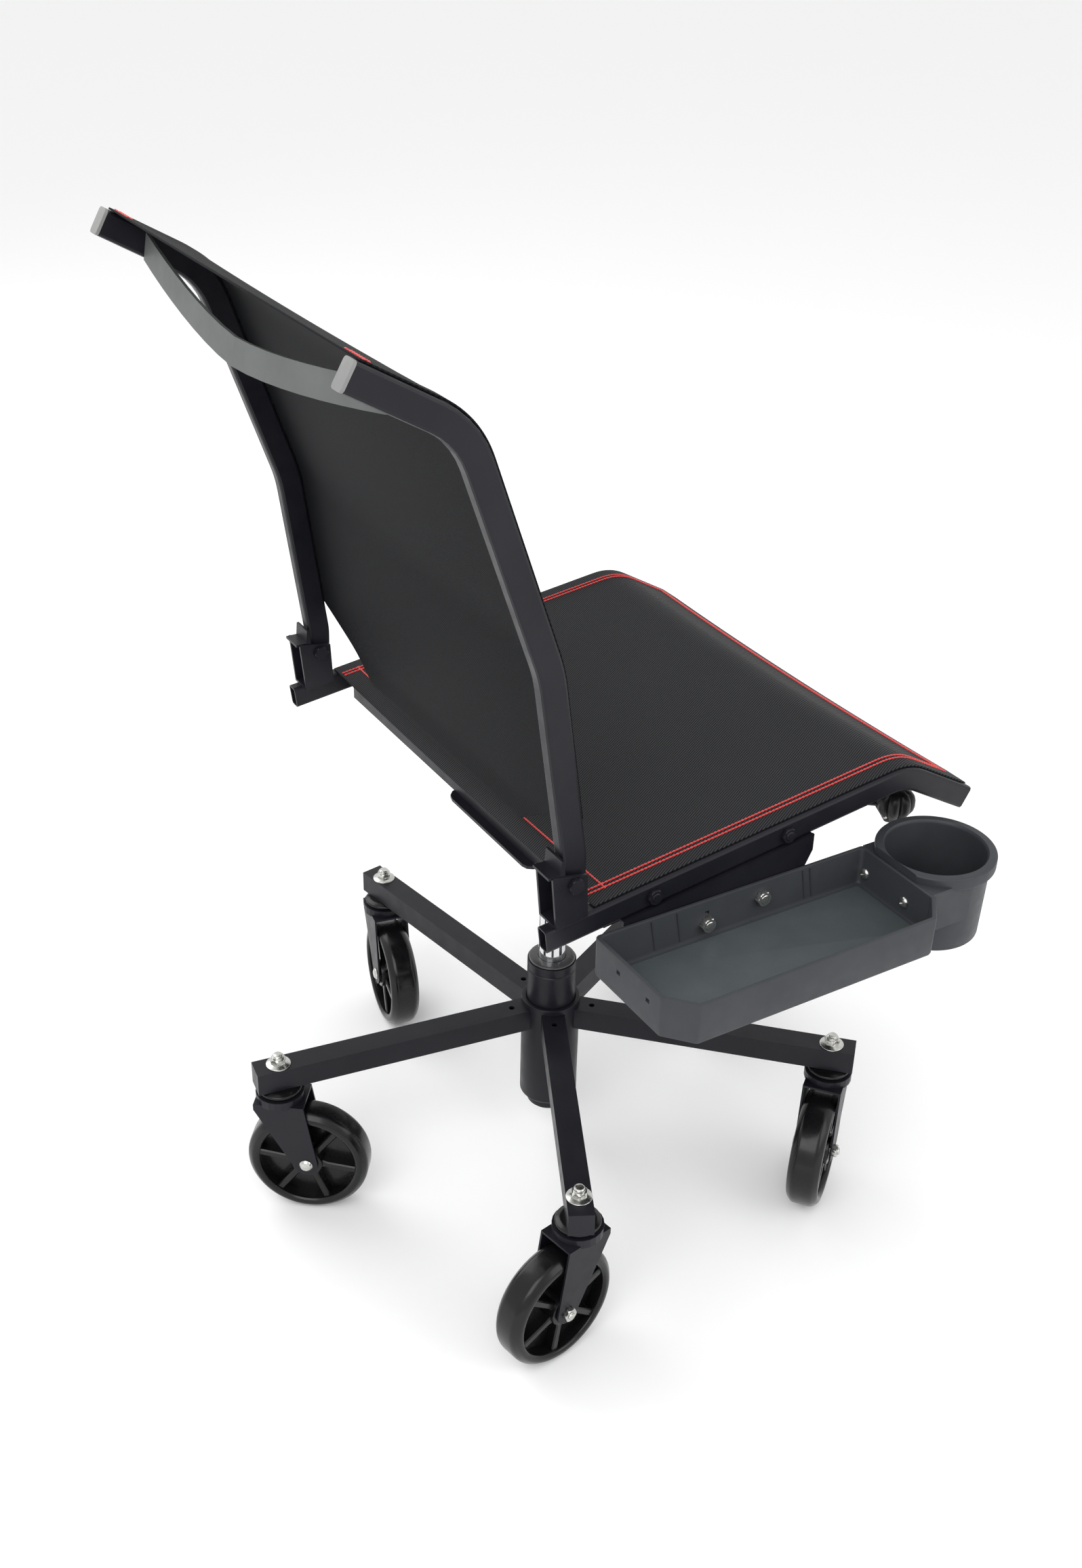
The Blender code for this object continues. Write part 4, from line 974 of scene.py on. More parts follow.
@dataclass
class FlangeNut:
    """A flanged lock nut with the end of its bolt standing out of it."""

    across_flats: float = 0.0135
    height: float = 0.0075
    stud: float = 0.0050
    stud_height: float = 0.0042
    hex_from: float = 0.002
    flange: Profile = ((0.0, 0.0), (0.0122, 0.0), (0.0122, 0.0010), (0.00715, 0.0026), (0.0, 0.0026))
    flange_round: float = 0.0004
    collar: Profile = ((0.0, -0.0008), (0.00594, -0.0008), (0.00567, 0.0018), (0.0058, 0.0026), (0.0, 0.0026))
    collar_round: float = 0.0006
    sides: int = 48

    def mesh(self) -> bmesh.types.BMesh:
        """The nut, up from z = 0.

        Returns:
            Its mesh.
        """
        flange = turned(softened(self.flange, self.flange_round), self.sides)
        collar = turned(softened(raised(self.collar, self.height), self.collar_round), self.sides)
        nut = HexHead(self.across_flats, self.height - self.hex_from).mesh(self.hex_from)
        return joined(flange, nut, collar, threaded_end(self.stud, self.stud_height, self.height))


# --- Cloth --------------------------------------------------------------------------------------------


Line = list[Vector]
CLOTH_SHARP_DEG = 50.0


def arc_line(points: Profile, radii: Sequence[float], steps: int = 14) -> Line:
    """A line through 2D points with its inner corners rounded.

    Args:
        points: The corners.
        radii: The radius at each inner corner.
        steps: Steps in each arc.

    Returns:
        The line's points.
    """
    line = [Vector(points[0])]
    for before, corner, after, radius in zip(points, points[1:], points[2:], radii):
        into = (Vector(corner) - Vector(before)).normalized()
        out = (Vector(after) - Vector(corner)).normalized()
        turn = into.angle_signed(out)
        start = Vector(corner) - into * radius * math.tan(abs(turn) / 2)
        side = Vector((-into.y, into.x)) * (-1 if turn > 0 else 1)
        centre = start + side * radius
        spoke = start - centre
        for i in range(steps + 1):
            angle = -turn * i / steps
            cos, sin = math.cos(angle), math.sin(angle)
            line.append(centre + Vector((spoke.x * cos - spoke.y * sin, spoke.x * sin + spoke.y * cos)))
    return line + [Vector(points[-1])]


def even_line(line: Line, step: float) -> Line:
    """The same line with points at even steps.

    Args:
        line: The line.
        step: About how far apart its new points are.

    Returns:
        The new line, with the same ends.
    """
    result = [line[0].copy()]
    total = sum((b - a).length for a, b in zip(line, line[1:]))
    count = max(int(round(total / step)), 1)
    slip = 1e-9  # for rounding
    spacing, covered, target = total / count, 0.0, total / count
    for a, b in zip(line, line[1:]):
        length = (b - a).length
        while length and covered + length >= target - slip and len(result) < count:
            result.append(a.lerp(b, (target - covered) / length))
            target += spacing
        covered += length
    return result + [line[-1].copy()]


def level_foot(_: float) -> float:
    """A first end that isn't drawn up anywhere."""
    return 0.0


@dataclass
class ClothSheet:
    """A stretched sheet over two side tubes: hemmed, stitched and slightly slack in the middle.

    Along is the distance down the sheet and across is from -1 to 1 between its side edges.
    """

    line: Line
    side: int
    half_width: Callable[[float], float]
    sag: float
    thickness: float = 0.0011
    hem: float = 0.024
    hem_extra: float = 0.0007
    hem_blur: float = 0.0008
    gap: float = 0.0003
    edge_round: float = 0.0007
    edge_least: float = 0.25
    hanging: float = 0.90
    end_slack: float = 0.55
    foot: Callable[[float], float] = level_foot
    step: float = 0.005
    columns: int = 96
    row_step: float = 0.004
    row_points: int = 90
    row_lift: float = 0.0002

    def __post_init__(self) -> None:
        """Measures the line."""
        self.line = even_line(self.line, self.step)
        self.reach = [0.0]
        for a, b in zip(self.line, self.line[1:]):
            self.reach.append(self.reach[-1] + (b - a).length)
        self.length = self.reach[-1]

    def place(self, along: float) -> tuple[Vector, Vector]:
        """The line's point and its outward normal at a distance along it.

        Args:
            along: The distance from the line's start.

        Returns:
            The point and the normal.
        """
        along = min(max(along, 0.0), self.length)
        i = min(int(along / self.length * (len(self.line) - 1)), len(self.line) - 2)
        share = (along - self.reach[i]) / (self.reach[i + 1] - self.reach[i])
        before, after = self.line[max(i - 1, 0)], self.line[min(i + 2, len(self.line) - 1)]
        tangent = (after - before).normalized()
        return self.line[i].lerp(self.line[i + 1], share), Vector((-tangent.y, tangent.x)) * self.side

    def drawn_up(self, across: float, along: float) -> float:
        """The distance along the line, with the sheet's first end drawn up at its corners."""
        foot = self.foot(across)
        return foot + along * (1 - foot / self.length)

    def slack(self, across: float, along: float) -> float:
        """How far the sheet hangs in: most in the middle, and nothing over the tubes.

        Args:
            across: From -1 to 1 between the side edges.
            along: The distance down the sheet.

        Returns:
            The distance.
        """
        inside = max(0.0, 1 - (abs(across) / self.hanging) ** 2)
        ends = self.end_slack + (1 - self.end_slack) * math.sin(math.pi * along / self.length)
        return self.sag * inside * ends

    def rise(self, from_edge: float, along: float) -> float:
        """The extra height of the doubled hems, which run round all four edges.

        Args:
            from_edge: The distance from the nearer side edge.
            along: The distance down the sheet.

        Returns:
            The height.
        """
        nearest = min(from_edge, along, self.length - along)
        return self.hem_extra / (1 + math.exp((nearest - self.hem) / self.hem_blur))

    def point(self, across: float, along: float, level: float, above: float = 0.0) -> Vector:
        """A point of the sheet.

        Args:
            across: From -1 to 1 between the side edges.
            along: The distance down the sheet.
            level: From 0 on its under face to 1 on its upper face.
            above: The distance above that, in metres.

        Returns:
            The point.
        """
        spot, normal = self.place(self.drawn_up(across, along))
        half = self.half_width(spot.y)
        edge = half * (1 - abs(across))
        thick = self.thickness + self.rise(edge, along)
        height = self.gap + level * thick + above - self.slack(across, along)
        y, z = spot + normal * height
        return at_lift(half * across, y, z)

    def roundness(self, from_edge: float) -> float:
        """The share of the cloth's thickness this far in from an edge, which is rounded."""
        bulge = math.sqrt(max(0.0, 1 - (1 - min(from_edge / self.edge_round, 1.0)) ** 2))
        return self.edge_least + (1 - self.edge_least) * bulge

    def stations(self, length: float, count: int) -> list[float]:
        """Distances over a length, close together where the edges round over.

        Args:
            length: The length.
            count: How many even steps its middle has.

        Returns:
            The distances.
        """
        fine = [self.edge_round * share for share in (0.0, 0.15, 0.5, 1.0)]
        middle = [length * i / count for i in range(1, count)]
        return fine + middle + [length - distance for distance in reversed(fine)]

    def mesh(self) -> bmesh.types.BMesh:
        """The sheet as a closed cloth with rounded edges and a map in metres.

        Returns:
            Its mesh.
        """
        bm = bmesh.new()
        layer = bm.loops.layers.uv.new(CLOTH_MAP)
        maps: dict[bmesh.types.BMVert, tuple[float, float]] = {}
        grids: list[list[list[bmesh.types.BMVert]]] = [[], []]
        for along in self.stations(self.length, len(self.line)):
            half = self.half_width(self.place(along)[0].y)
            rows: list[list[bmesh.types.BMVert]] = [[], []]
            for offset in self.stations(2 * half, self.columns):
                across = offset / half - 1
                from_edge = min(offset, 2 * half - offset, along, self.length - along)
                thick = self.roundness(from_edge)
                for row, share in zip(rows, (0.5 + thick / 2, 0.5 - thick / 2)):
                    row.append(bm.verts.new(self.point(across, along, share)))
                    maps[row[-1]] = (half * across, self.drawn_up(across, along))
            for grid, row in zip(grids, rows):
                grid.append(row)
        for grid in grids:
            for low, high in zip(grid, grid[1:]):
                join_rings(bm, low, high, closed=False)
        top, bottom = grids
        rims = [([row[i] for row in top], [row[i] for row in bottom]) for i in (0, -1)]
        for upper, lower in rims + [(top[0], bottom[0]), (top[-1], bottom[-1])]:
            join_rings(bm, upper, lower, closed=False)
        for face in bm.faces:
            for loop in face.loops:
                loop[layer].uv = maps[loop.vert]
        return facing_out(bm)

    def row_along(self, from_edge: float, side: Side, start: float, end: float) -> Line:
        """A line of stitches down one side.

        Args:
            from_edge: The distance from the side edge.
            side: The side.
            start: The distance down the sheet at which it starts.
            end: The distance at which it ends.

        Returns:
            The line.
        """
        count = max(int((end - start) / self.row_step), 2)
        line = []
        for i in range(count + 1):
            along = start + (end - start) * i / count
            half = self.half_width(self.place(along)[0].y)
            line.append(self.point(side.value * (1 - from_edge / half), along, 1.0, self.row_lift))
        return line

    def row_across(self, along: float, inset: float) -> Line:
        """A line of stitches across the sheet.

        Args:
            along: The distance down the sheet.
            inset: The distance from each side edge at which it ends.

        Returns:
            The line.
        """
        share = 1 - inset / self.half_width(self.place(along)[0].y)
        places = (2 * i / self.row_points - 1 for i in range(self.row_points + 1))
        return [self.point(share * place, along, 1.0, self.row_lift) for place in places]


@dataclass
class SeatCloth:
    """The seat's mesh over the two rails."""

    slope: float = 0.13
    rail_top: float = 0.4889
    crest_y: float = -0.2151
    rear_y: float = 0.118
    front: tuple[float, float] = (-0.2887, 0.4746)
    bend: float = 0.060
    half_width: float = 0.2454
    sag: float = 0.006
    stitch_rows: Span = (0.0155, 0.0205)
    stitch_start: float = 0.004

    def build(self) -> None:
        """Makes the cloth and its stitches."""
        crest = (self.crest_y, self.rail_top - self.slope * self.crest_y)
        rear = (self.rear_y, self.rail_top - self.slope * self.rear_y)
        line = arc_line((rear, crest, self.front), (self.bend,))
        sheet = ClothSheet(line, -1, lambda _: self.half_width, self.sag)
        cloth = settle(
            "seat_cloth", sheet.mesh(), Finish.CLOTH, "seat", ("seat_mesh",), CLOTH_SHARP_DEG)
        length = sheet.length
        rows = []
        for inset in self.stitch_rows:
            for side in Side:
                rows.append(sheet.row_along(inset, side, self.stitch_start, length - inset))
            rows.append(sheet.row_across(length - inset, inset))
        rows.append(sheet.row_across(self.stitch_rows[1], self.stitch_rows[0]))
        StitchRow().lay("seat_stitches", rows, "seat")


@dataclass
class BackCloth:
    """The back's mesh on the front of its two tubes, with its lower corners drawn up."""

    corners: Profile = (
        (0.1266, 0.5050), (0.1265, 0.5280), (0.1505, 0.6970), (0.2223, 0.9015), (0.3100, 0.9519))
    bends: tuple[float, ...] = (0.080, 0.150, 0.085)
    half_width_low: float = 0.241
    half_width_high: float = 0.235
    low_z: float = 0.580
    high_z: float = 0.955
    foot_rise: float = 0.055
    foot_from: float = 0.58
    foot_power: float = 0.85
    sag: float = 0.004
    stitch_rows: Span = (0.0155, 0.0205)
    plain_top: float = 0.125
    hem_rows: Span = (0.0050, 0.0100)
    hem_reach: Span = (0.004, 0.030)
    hem_steps: int = 8

    def half_width(self, z: float) -> float:
        """Half the cloth's width at a height."""
        share = (z - self.low_z) / (self.high_z - self.low_z)
        return self.half_width_low + (self.half_width_high - self.half_width_low) * share

    def foot(self, across: float) -> float:
        """How far the lower edge is drawn up at a distance across."""
        share = max(0.0, (abs(across) - self.foot_from) / (1 - self.foot_from))
        return self.foot_rise * share ** self.foot_power

    def build(self) -> None:
        """Makes the cloth and its stitches."""
        line = arc_line(self.corners, self.bends)
        sheet = ClothSheet(line, 1, self.half_width, self.sag, end_slack=0.0, foot=self.foot)
        # The back wears the darker copy of the mesh, whose colour is painted shade
        cloth = settle(
            "back_cloth", sheet.mesh(), Finish.CLOTH_BACK, "back", ("back_mesh",),
            CLOTH_SHARP_DEG)
        rows = []
        for side in Side:
            for inset in self.stitch_rows:
                rows.append(sheet.row_along(inset, side, inset, sheet.length - self.plain_top))
            for inset in self.hem_rows:
                rows.append(self.hem_bit(sheet, side, sheet.length - inset))
        StitchRow().lay("back_stitches", rows, "back")

    def hem_bit(self, sheet: ClothSheet, side: Side, along: float) -> Line:
        """The short seam that closes the hem over a tube.

        Args:
            sheet: The cloth.
            side: The side it is on.
            along: The distance down the sheet.

        Returns:
            The line of the seam.
        """
        half = self.half_width(self.high_z)
        start, end = (side.value * (1 - reach / half) for reach in self.hem_reach)
        places = (start + (end - start) * i / self.hem_steps for i in range(self.hem_steps + 1))
        return [sheet.point(place, along, 1.0, sheet.row_lift) for place in places]


# --- Base and casters ---------------------------------------------------------------------------------


@dataclass
class Caster:
    """A caster's wheel, its nut on the arm, its races and its axle bolt."""

    index: int
    half_width: float = 0.01625
    tread_edge: float = 0.006
    rim: float = 0.0125
    rim_lip: float = 0.002
    rim_hollow: float = 0.001
    rim_round: float = 0.003
    hub: Span = (0.0046, 0.0155)
    hub_swell: float = 0.001
    web: float = 0.004
    web_inner: float = 0.010
    bolt_reach: float = 0.0196
    bolt_radius: float = 0.004
    bolt_head: Span = (0.0125, 0.0045)
    bolt_end: Span = (0.0038, 0.0022)
    bolt_dome: Profile = ((0.0, -0.0030), (0.0045, -0.0028), (0.0072, 0.0), (0.0, 0.0))
    race_foot: Profile = ((0.0, 0.0), (0.009, 0.0), (0.009, 0.0034), (0.0055, 0.0036))
    race_top: Profile = (
        (0.0055, -0.0065), (0.0195, -0.0065), (0.0215, -0.0050), (0.0215, -0.0022), (0.0165, 0.0), (0.0, 0.0))
    race_round: float = 0.0012
    small_round: float = 0.001
    rim_sides: int = 96
    hub_sides: int = 48
    race_gap: float = 0.0003

    def build(self) -> None:
        """Makes every piece of the caster."""
        joints = {joint["name"]: joint for joint in frame["joints"]}
        spin = joints[f"wheel_spin_{self.index}"]
        axle = Vector(spin["pos_m"])
        place = facing(spin["axis"], axle)
        self.build_wheel(axle.z, place)
        self.build_axle_bolt(place)
        self.build_stem(Vector(joints[f"caster_swivel_{self.index}"]["pos_m"]))

    def build_wheel(self, radius: float, place: Matrix) -> None:
        """A tread, a hub and a web with spokes on both sides.

        Args:
            radius: The wheel's radius.
            place: The axle's place and direction.
        """
        half, edge, lip = self.half_width, radius - self.tread_edge, self.rim_lip
        inner = radius - self.rim
        hollow = inner - self.rim_hollow
        rim = turned(softened((
            (inner, -half + lip), (inner + lip, -half), (edge, -half), (radius, -half + self.tread_edge),
            (radius, half - self.tread_edge), (edge, half), (inner + lip, half), (inner, half - lip),
            (hollow, self.web), (hollow, -self.web)), self.rim_round), self.rim_sides)
        (bore, outer), swollen = self.hub, self.hub[1] + self.hub_swell
        hub = turned(softened((
            (bore, -half), (outer, -half), (swollen, 0.0), (outer, half), (bore, half)), self.small_round),
            self.hub_sides)
        thin = self.web / 2
        web = turned((
            (self.web_inner, -thin), (inner + lip, -thin), (inner + lip, thin), (self.web_inner, thin)))
        spokes = SpokeRing(inner + self.rim_hollow).ring(f"spokes_{self.index}", Finish.GLOSS.material())
        node = f"wheel_{self.index}"
        wheel = placed(joined(rim, hub, web, spokes), place)
        settle(f"caster_{node}", wheel, Finish.GLOSS, node, (node,))

    def build_axle_bolt(self, place: Matrix) -> None:
        """A bolt through the fork with a nut on its far end.

        Args:
            place: The axle's place and direction.
        """
        reach, radius = self.bolt_reach, self.bolt_radius
        head = HexHead(*self.bolt_head).mesh(reach)
        shank = turned(((0.0, -reach), (radius, -reach), (radius, reach), (0.0, reach)), SHANK_SIDES)
        dome = turned(softened(raised(self.bolt_dome, -reach), self.small_round), DOME_SIDES)
        end = threaded_end(*self.bolt_end, reach + self.bolt_head[1])
        bolt = placed(joined(head, shank, dome, end), place)
        settle(
            f"caster_axle_{self.index}", bolt, Finish.ZINC, f"caster_{self.index}",
            (f"axle_bolt_{self.index}",))

    def build_stem(self, stem: Vector) -> None:
        """The nut over the arm and the race under it.

        Args:
            stem: A point of the stem's axis.
        """
        node = f"caster_stem_{self.index}"
        low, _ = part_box(node)
        arm_low, arm_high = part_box(f"base_arm_{self.index}")
        nut = placed(FlangeNut().mesh(), Matrix.Translation((stem.x, stem.y, arm_high.z)))
        settle(f"stem_nut_{self.index}", nut, Finish.ZINC, "base", (node,))
        profile = raised(self.race_foot, low.z) + raised(self.race_top, arm_low.z - self.race_gap)
        race = placed(turned(softened(profile, self.race_round)), Matrix.Translation((stem.x, stem.y, 0.0)))
        settle(f"swivel_race_{self.index}", race, Finish.GLOSS, "base")


@dataclass
class GasLift:
    """The gas cylinder, its guide bushing, the rod and the hub. Profiles are (radius, height) points."""

    sides: int = 96
    cylinder_foot: Profile = ((0.0, 0.0), (0.0173, 0.0), (0.0223, 0.005))
    cylinder_side: Profile = ((0.0223, 0.051), (0.0243, 0.056), (0.0250, 0.179))
    cylinder_head: Profile = (
        (0.0250, -0.0112), (0.0238, -0.0100), (0.0250, -0.0088), (0.0250, 0.0), (0.0238, 0.0), (0.0205, 0.0),
        (0.0205, -0.017), (0.0, -0.017))
    bushing_bore: Profile = ((0.0143, 0.0),)
    bushing_sleeve: Profile = ((0.0143, -0.016), (0.0202, -0.016), (0.0202, 0.0003), (0.0238, 0.0003))
    bushing_cap: Profile = ((0.0236, -0.0006), (0.0215, 0.0))
    bushing_round: float = 0.0006
    rod_piston: Profile = ((0.0, 0.0), (0.0202, 0.0), (0.0202, 0.014), (0.014, 0.014))
    rod_head: Profile = ((0.014, -0.001), (0.013, 0.0), (0.0045, 0.0), (0.0045, -0.0165), (0.0, -0.0165))
    hub_foot: Profile = ((0.0275, 0.0), (0.030, 0.0025))
    hub_head: Profile = ((0.030, 0.0), (0.0254, 0.0))
    hub_bore: Profile = ((0.0247, 0.0),)
    steel_round: float = 0.0010

    def build(self) -> None:
        """Makes the round pieces finer than the frame has them."""
        low, high = (corner.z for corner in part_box("gas_cylinder"))
        profile = (
            raised(self.cylinder_foot, low) + list(self.cylinder_side) + raised(self.cylinder_head, high))
        self.turn(
            "lift_cylinder", softened(profile, self.steel_round), Finish.BLACK, "black_steel", "gas_cylinder")
        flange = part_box("cylinder_bushing")[1].z
        profile = (
            raised(self.bushing_bore, flange) + raised(self.bushing_sleeve, high)
            + raised(self.bushing_cap, flange))
        self.turn(
            "guide_bushing", softened(profile, self.bushing_round), Finish.BUSH, "grey_plastic",
            "cylinder_bushing")
        low, high = (corner.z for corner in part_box("piston_rod"))
        profile = raised(self.rod_piston, low) + raised(self.rod_head, high)
        self.turn("chromed_rod", profile, Finish.CHROME, "chrome", "piston_rod", "lift")
        low, high = (corner.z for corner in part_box("hub_tube"))
        profile = raised(self.hub_foot, low) + raised(self.hub_head, high) + raised(self.hub_bore, low)
        self.turn("hub_sleeve", softened(profile, self.steel_round), Finish.BLACK, "black_steel", "hub_tube")

    def turn(
        self, name: str, profile: Profile, finish: Finish, slot: str, node: str, body: str = "base",
    ) -> None:
        """Turns a piece about the lift's axis.

        Args:
            name: The piece's name.
            profile: Its profile.
            finish: Its finish.
            slot: The record's material slot; not used.
            node: The frame's node that it stands for.
            body: The body it moves with.
        """
        piece = placed(turned(profile, self.sides), Matrix.Translation(lift_axis()))
        settle(name, piece, finish, body, (node,))


# --- Tray and cup holder ------------------------------------------------------------------------------


@dataclass
class Tray:
    """The tool tray with rounded rims, a lighter sheet of painted light on its floor and two slots in its rear
    wall.

    The levels are (inset, height) points of its walls' section: under the floor, over the rim and inside.
    """

    wall: float = 0.004
    floor: float = 0.0035
    cut_x: float = 0.024
    cut_y: float = 0.021
    cut_share: float = 0.45
    corner: float = 0.004
    corner_steps: int = 5
    foot_levels: Profile = ((0.0030, 0.0), (0.0012, 0.0008), (0.0004, 0.0030))
    rim_levels: Profile = (
        (0.0, -0.0012), (0.0004, -0.0003), (0.0012, 0.0), (0.0030, 0.0), (0.0037, -0.0004), (0.0040, -0.0014))
    inner_levels: Profile = ((0.0046, 0.0030), (0.0056, 0.0008), (0.0074, 0.0))
    pad_levels: Profile = ((0.0095, -0.0005), (0.0095, 0.0004), (0.0102, 0.0008))
    slot: Span = (0.005, 0.004)
    slot_below_rim: float = 0.012
    slot_cut: Span = (-0.02, 0.01)
    slots_from_lift: Span = (-0.289, -0.331)
    ribs_from_lift: tuple[float, ...] = (0.062, 0.036, -0.098, -0.106)
    rib: float = 0.0009
    rib_lean: float = 0.005
    rib_inset: float = 0.002
    sunk: float = 0.0002
    keyhole_from_lift: Span = (0.007, 0.011)
    keyhole_heights: Span = (0.4330, 0.4405)
    keyhole_depth: float = 0.0003

    def outline(self, inset: float) -> list[tuple[float, float]]:
        """The tray from above, with small rounds at its corners.

        Args:
            inset: How far it is drawn in.

        Returns:
            The outline's points.
        """
        low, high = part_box("tray")
        x0, x1, y0, y1 = low.x + inset, high.x - inset, low.y + inset, high.y - inset
        cut_x, cut_y = (size - inset * self.cut_share for size in (self.cut_x, self.cut_y))
        corners = ((x1, y0), (x1, y1), (x0 + cut_x, y1), (x0, y1 - cut_y), (x0, y0 + cut_y), (x0 + cut_x, y0))
        ring = []
        for before, corner, after in zip(corners[-1:] + corners, corners, corners[1:] + corners[:1]):
            arc = arc_line((before, corner, after), (self.corner,), self.corner_steps)[1:-1]
            ring += [tuple(point) for point in arc]
        return ring

    def shell(self, levels: Profile) -> bmesh.types.BMesh:
        """A body through the tray's outline at several insets and heights."""
        return skin([[(x, y, z) for x, y in self.outline(inset)] for inset, z in levels])

    def build(self) -> None:
        """Makes the tray and a lighter sheet on its floor, which is painted light."""
        low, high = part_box("tray")
        floor = low.z + self.floor
        body = self.shell(
            raised(self.foot_levels, low.z) + raised(self.rim_levels, high.z)
            + raised(self.inner_levels, floor))
        wide, tall = self.slot
        slot_top = high.z - self.slot_below_rim
        inside, outside = (high.y + reach for reach in self.slot_cut)
        for x in self.slots_from_lift:
            middle = lift_axis().x + x
            tool = lofted_box(
                (middle - wide / 2, inside, slot_top - tall), (middle + wide / 2, outside, slot_top))
            body = combined(body, tool, Cut.DIFFERENCE)
        settle("tool_tray", body, Finish.SLATE, "seat", ("tray",))
        self.build_ribs(high.x - self.wall, floor, high.z)
        # A lighter sheet inset from the walls: painted light on the floor, which leaves the floor darker next to
        # the walls
        lit_floor = self.shell(raised(self.pad_levels, floor))
        settle("tray_floor_pad", lit_floor, Finish.TRAY_FLOOR, "seat")

    def build_ribs(self, face: float, floor: float, top: float) -> None:
        """Raised lines on the inner wall, and a thin black sheet over the rear bolt that is painted shade where
        the keyhole slot would be.

        Args:
            face: The wall's inside face.
            floor: The floor's height.
            top: The rim's height.
        """
        axis, behind, half = lift_axis(), face + self.sunk, self.rib / 2
        foot_z, head_z = floor + self.rib_inset, top - self.rib_inset
        ribs = []
        for y in self.ribs_from_lift:
            foot, head = axis.y + y, axis.y + y + self.rib_lean
            ribs.append(skin([
                [(x, foot - half, foot_z), (x, foot + half, foot_z), (x, head + half, head_z),
                 (x, head - half, head_z)] for x in (behind, face - self.rib)]))
        settle("tray_ribs", joined(*ribs), Finish.SLATE, "seat")
        # A thin black sheet on the wall's face stands for the keyhole slot: painted shade where the hole would be
        front, (y0, y1) = face - self.keyhole_depth, (axis.y + y for y in self.keyhole_from_lift)
        slot = skin([[(behind, y0, z), (front, y0, z), (front, y1, z), (behind, y1, z)]
                     for z in self.keyhole_heights])
        settle("keyhole_slot", slot, Finish.GLOSS, "seat")


@dataclass
class CupHolder:
    """The cup holder, turned smooth, with the block that meets the tray."""

    radius: float = 0.054
    gap: float = 0.0003
    foot: Profile = ((0.0, 0.0), (0.047, 0.0))
    rim: Profile = (
        (0.049, -0.0125), (0.0536, -0.0118), (0.0540, -0.0104), (0.0540, -0.0012), (0.0528, 0.0), (0.0, 0.0))
    rim_round: float = 0.0012
    well_foot: Profile = ((0.0, 0.003), (0.0435, 0.003))
    well_mouth: Profile = ((0.045, -0.002), (0.0475, 0.001), (0.0, 0.001))
    well_round: float = 0.0016
    sides: int = 128
    block_x: Span = (-0.0487, 0.043)
    block_z: Span = (0.410, 0.450)
    block_past: float = 0.004
    trim: tuple[Span, Span, Span] = ((-0.09, 0.09), (0.0, 0.12), (0.3, 0.6))

    def build(self) -> None:
        """Makes the holder as one moulding."""
        low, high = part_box("cup_holder")
        middle = Vector(((low.x + high.x) / 2, low.y + self.radius, 0.0))
        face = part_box("tray")[0].y - self.gap - middle.y
        profile = raised(self.foot, low.z) + raised(self.rim, high.z)
        body = turned(softened(profile, self.rim_round), self.sides)
        (x0, x1), past = self.block_x, face + self.block_past
        block = skin([[(x0, 0.0, z), (x1, 0.0, z), (x1, past, z), (x0, past, z)] for z in self.block_z])
        body = combined(body, block, Cut.UNION)
        profile = raised(self.well_foot, low.z) + raised(self.well_mouth, high.z)
        body = combined(body, turned(softened(profile, self.well_round), self.sides), Cut.DIFFERENCE)
        (x0, x1), (_, y1), (z0, z1) = self.trim
        body = combined(body, lofted_box((x0, face, z0), (x1, y1, z1)), Cut.DIFFERENCE)
        body = placed(body, Matrix.Translation(middle))
        settle("cup_moulding", body, Finish.SLATE, "seat", ("cup_holder",))


@dataclass
class LeverKnob:
    """The lobed knob that stands on the lift lever's end, with a rivet through its side.

    The outline is (height, share of the radius) points.
    """

    radius: float = 0.0172
    lobe: float = 0.0022
    lobes: int = 8
    lobe_power: float = 0.6
    lobe_balance: float = 1.2
    sides: int = 128
    rivet: Profile = ((0.0, -0.004), (0.0030, -0.004), (0.0030, 0.0004), (0.0018, 0.0010), (0.0, 0.0011))
    rivet_round: float = 0.0006
    rivet_way: Point = (-0.16, 0.98, 0.0)
    rivet_share: float = 0.74
    rivet_height: float = -0.0085
    outline: Profile = (
        (-0.0168, 0.30), (-0.0168, 0.46), (-0.0160, 0.56), (-0.0130, 0.64), (-0.0085, 0.80), (-0.0040, 0.95),
        (0.0005, 1.0), (0.0070, 0.99), (0.0115, 0.92), (0.0148, 0.78), (0.0164, 0.55), (0.0168, 0.30))

    def ring(self, height: float, share: float) -> list[Point]:
        """One lobed outline about Z, whose grooves fade towards its ends.

        Args:
            height: Its height.
            share: Its share of the knob's radius.

        Returns:
            Its points.
        """
        depth = self.lobe * share ** 2
        points = []
        for i in range(self.sides):
            angle = math.tau * i / self.sides
            wave = abs(math.cos(angle * self.lobes / 2)) ** self.lobe_power
            radius = self.radius * share + depth * (2 * wave - self.lobe_balance)
            points.append((radius * math.cos(angle), radius * math.sin(angle), height))
        return points

    def build(self) -> None:
        """Makes the knob and its rivet."""
        low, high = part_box("lever_grip")
        place = (low + high) / 2
        knob = placed(skin([self.ring(*station) for station in self.outline]), Matrix.Translation(place))
        settle("lever_knob", knob, Finish.GRIP, "lever", ("lever_grip",))
        way = Vector(self.rivet_way).normalized()
        head = turned(softened(self.rivet, self.rivet_round), DOME_SIDES)
        spot = place + way * self.radius * self.rivet_share + Vector((0.0, 0.0, self.rivet_height))
        settle("knob_rivet", placed(head, facing(way, spot)), Finish.ZINC, "lever")


# --- Fasteners of the seat ----------------------------------------------------------------------------


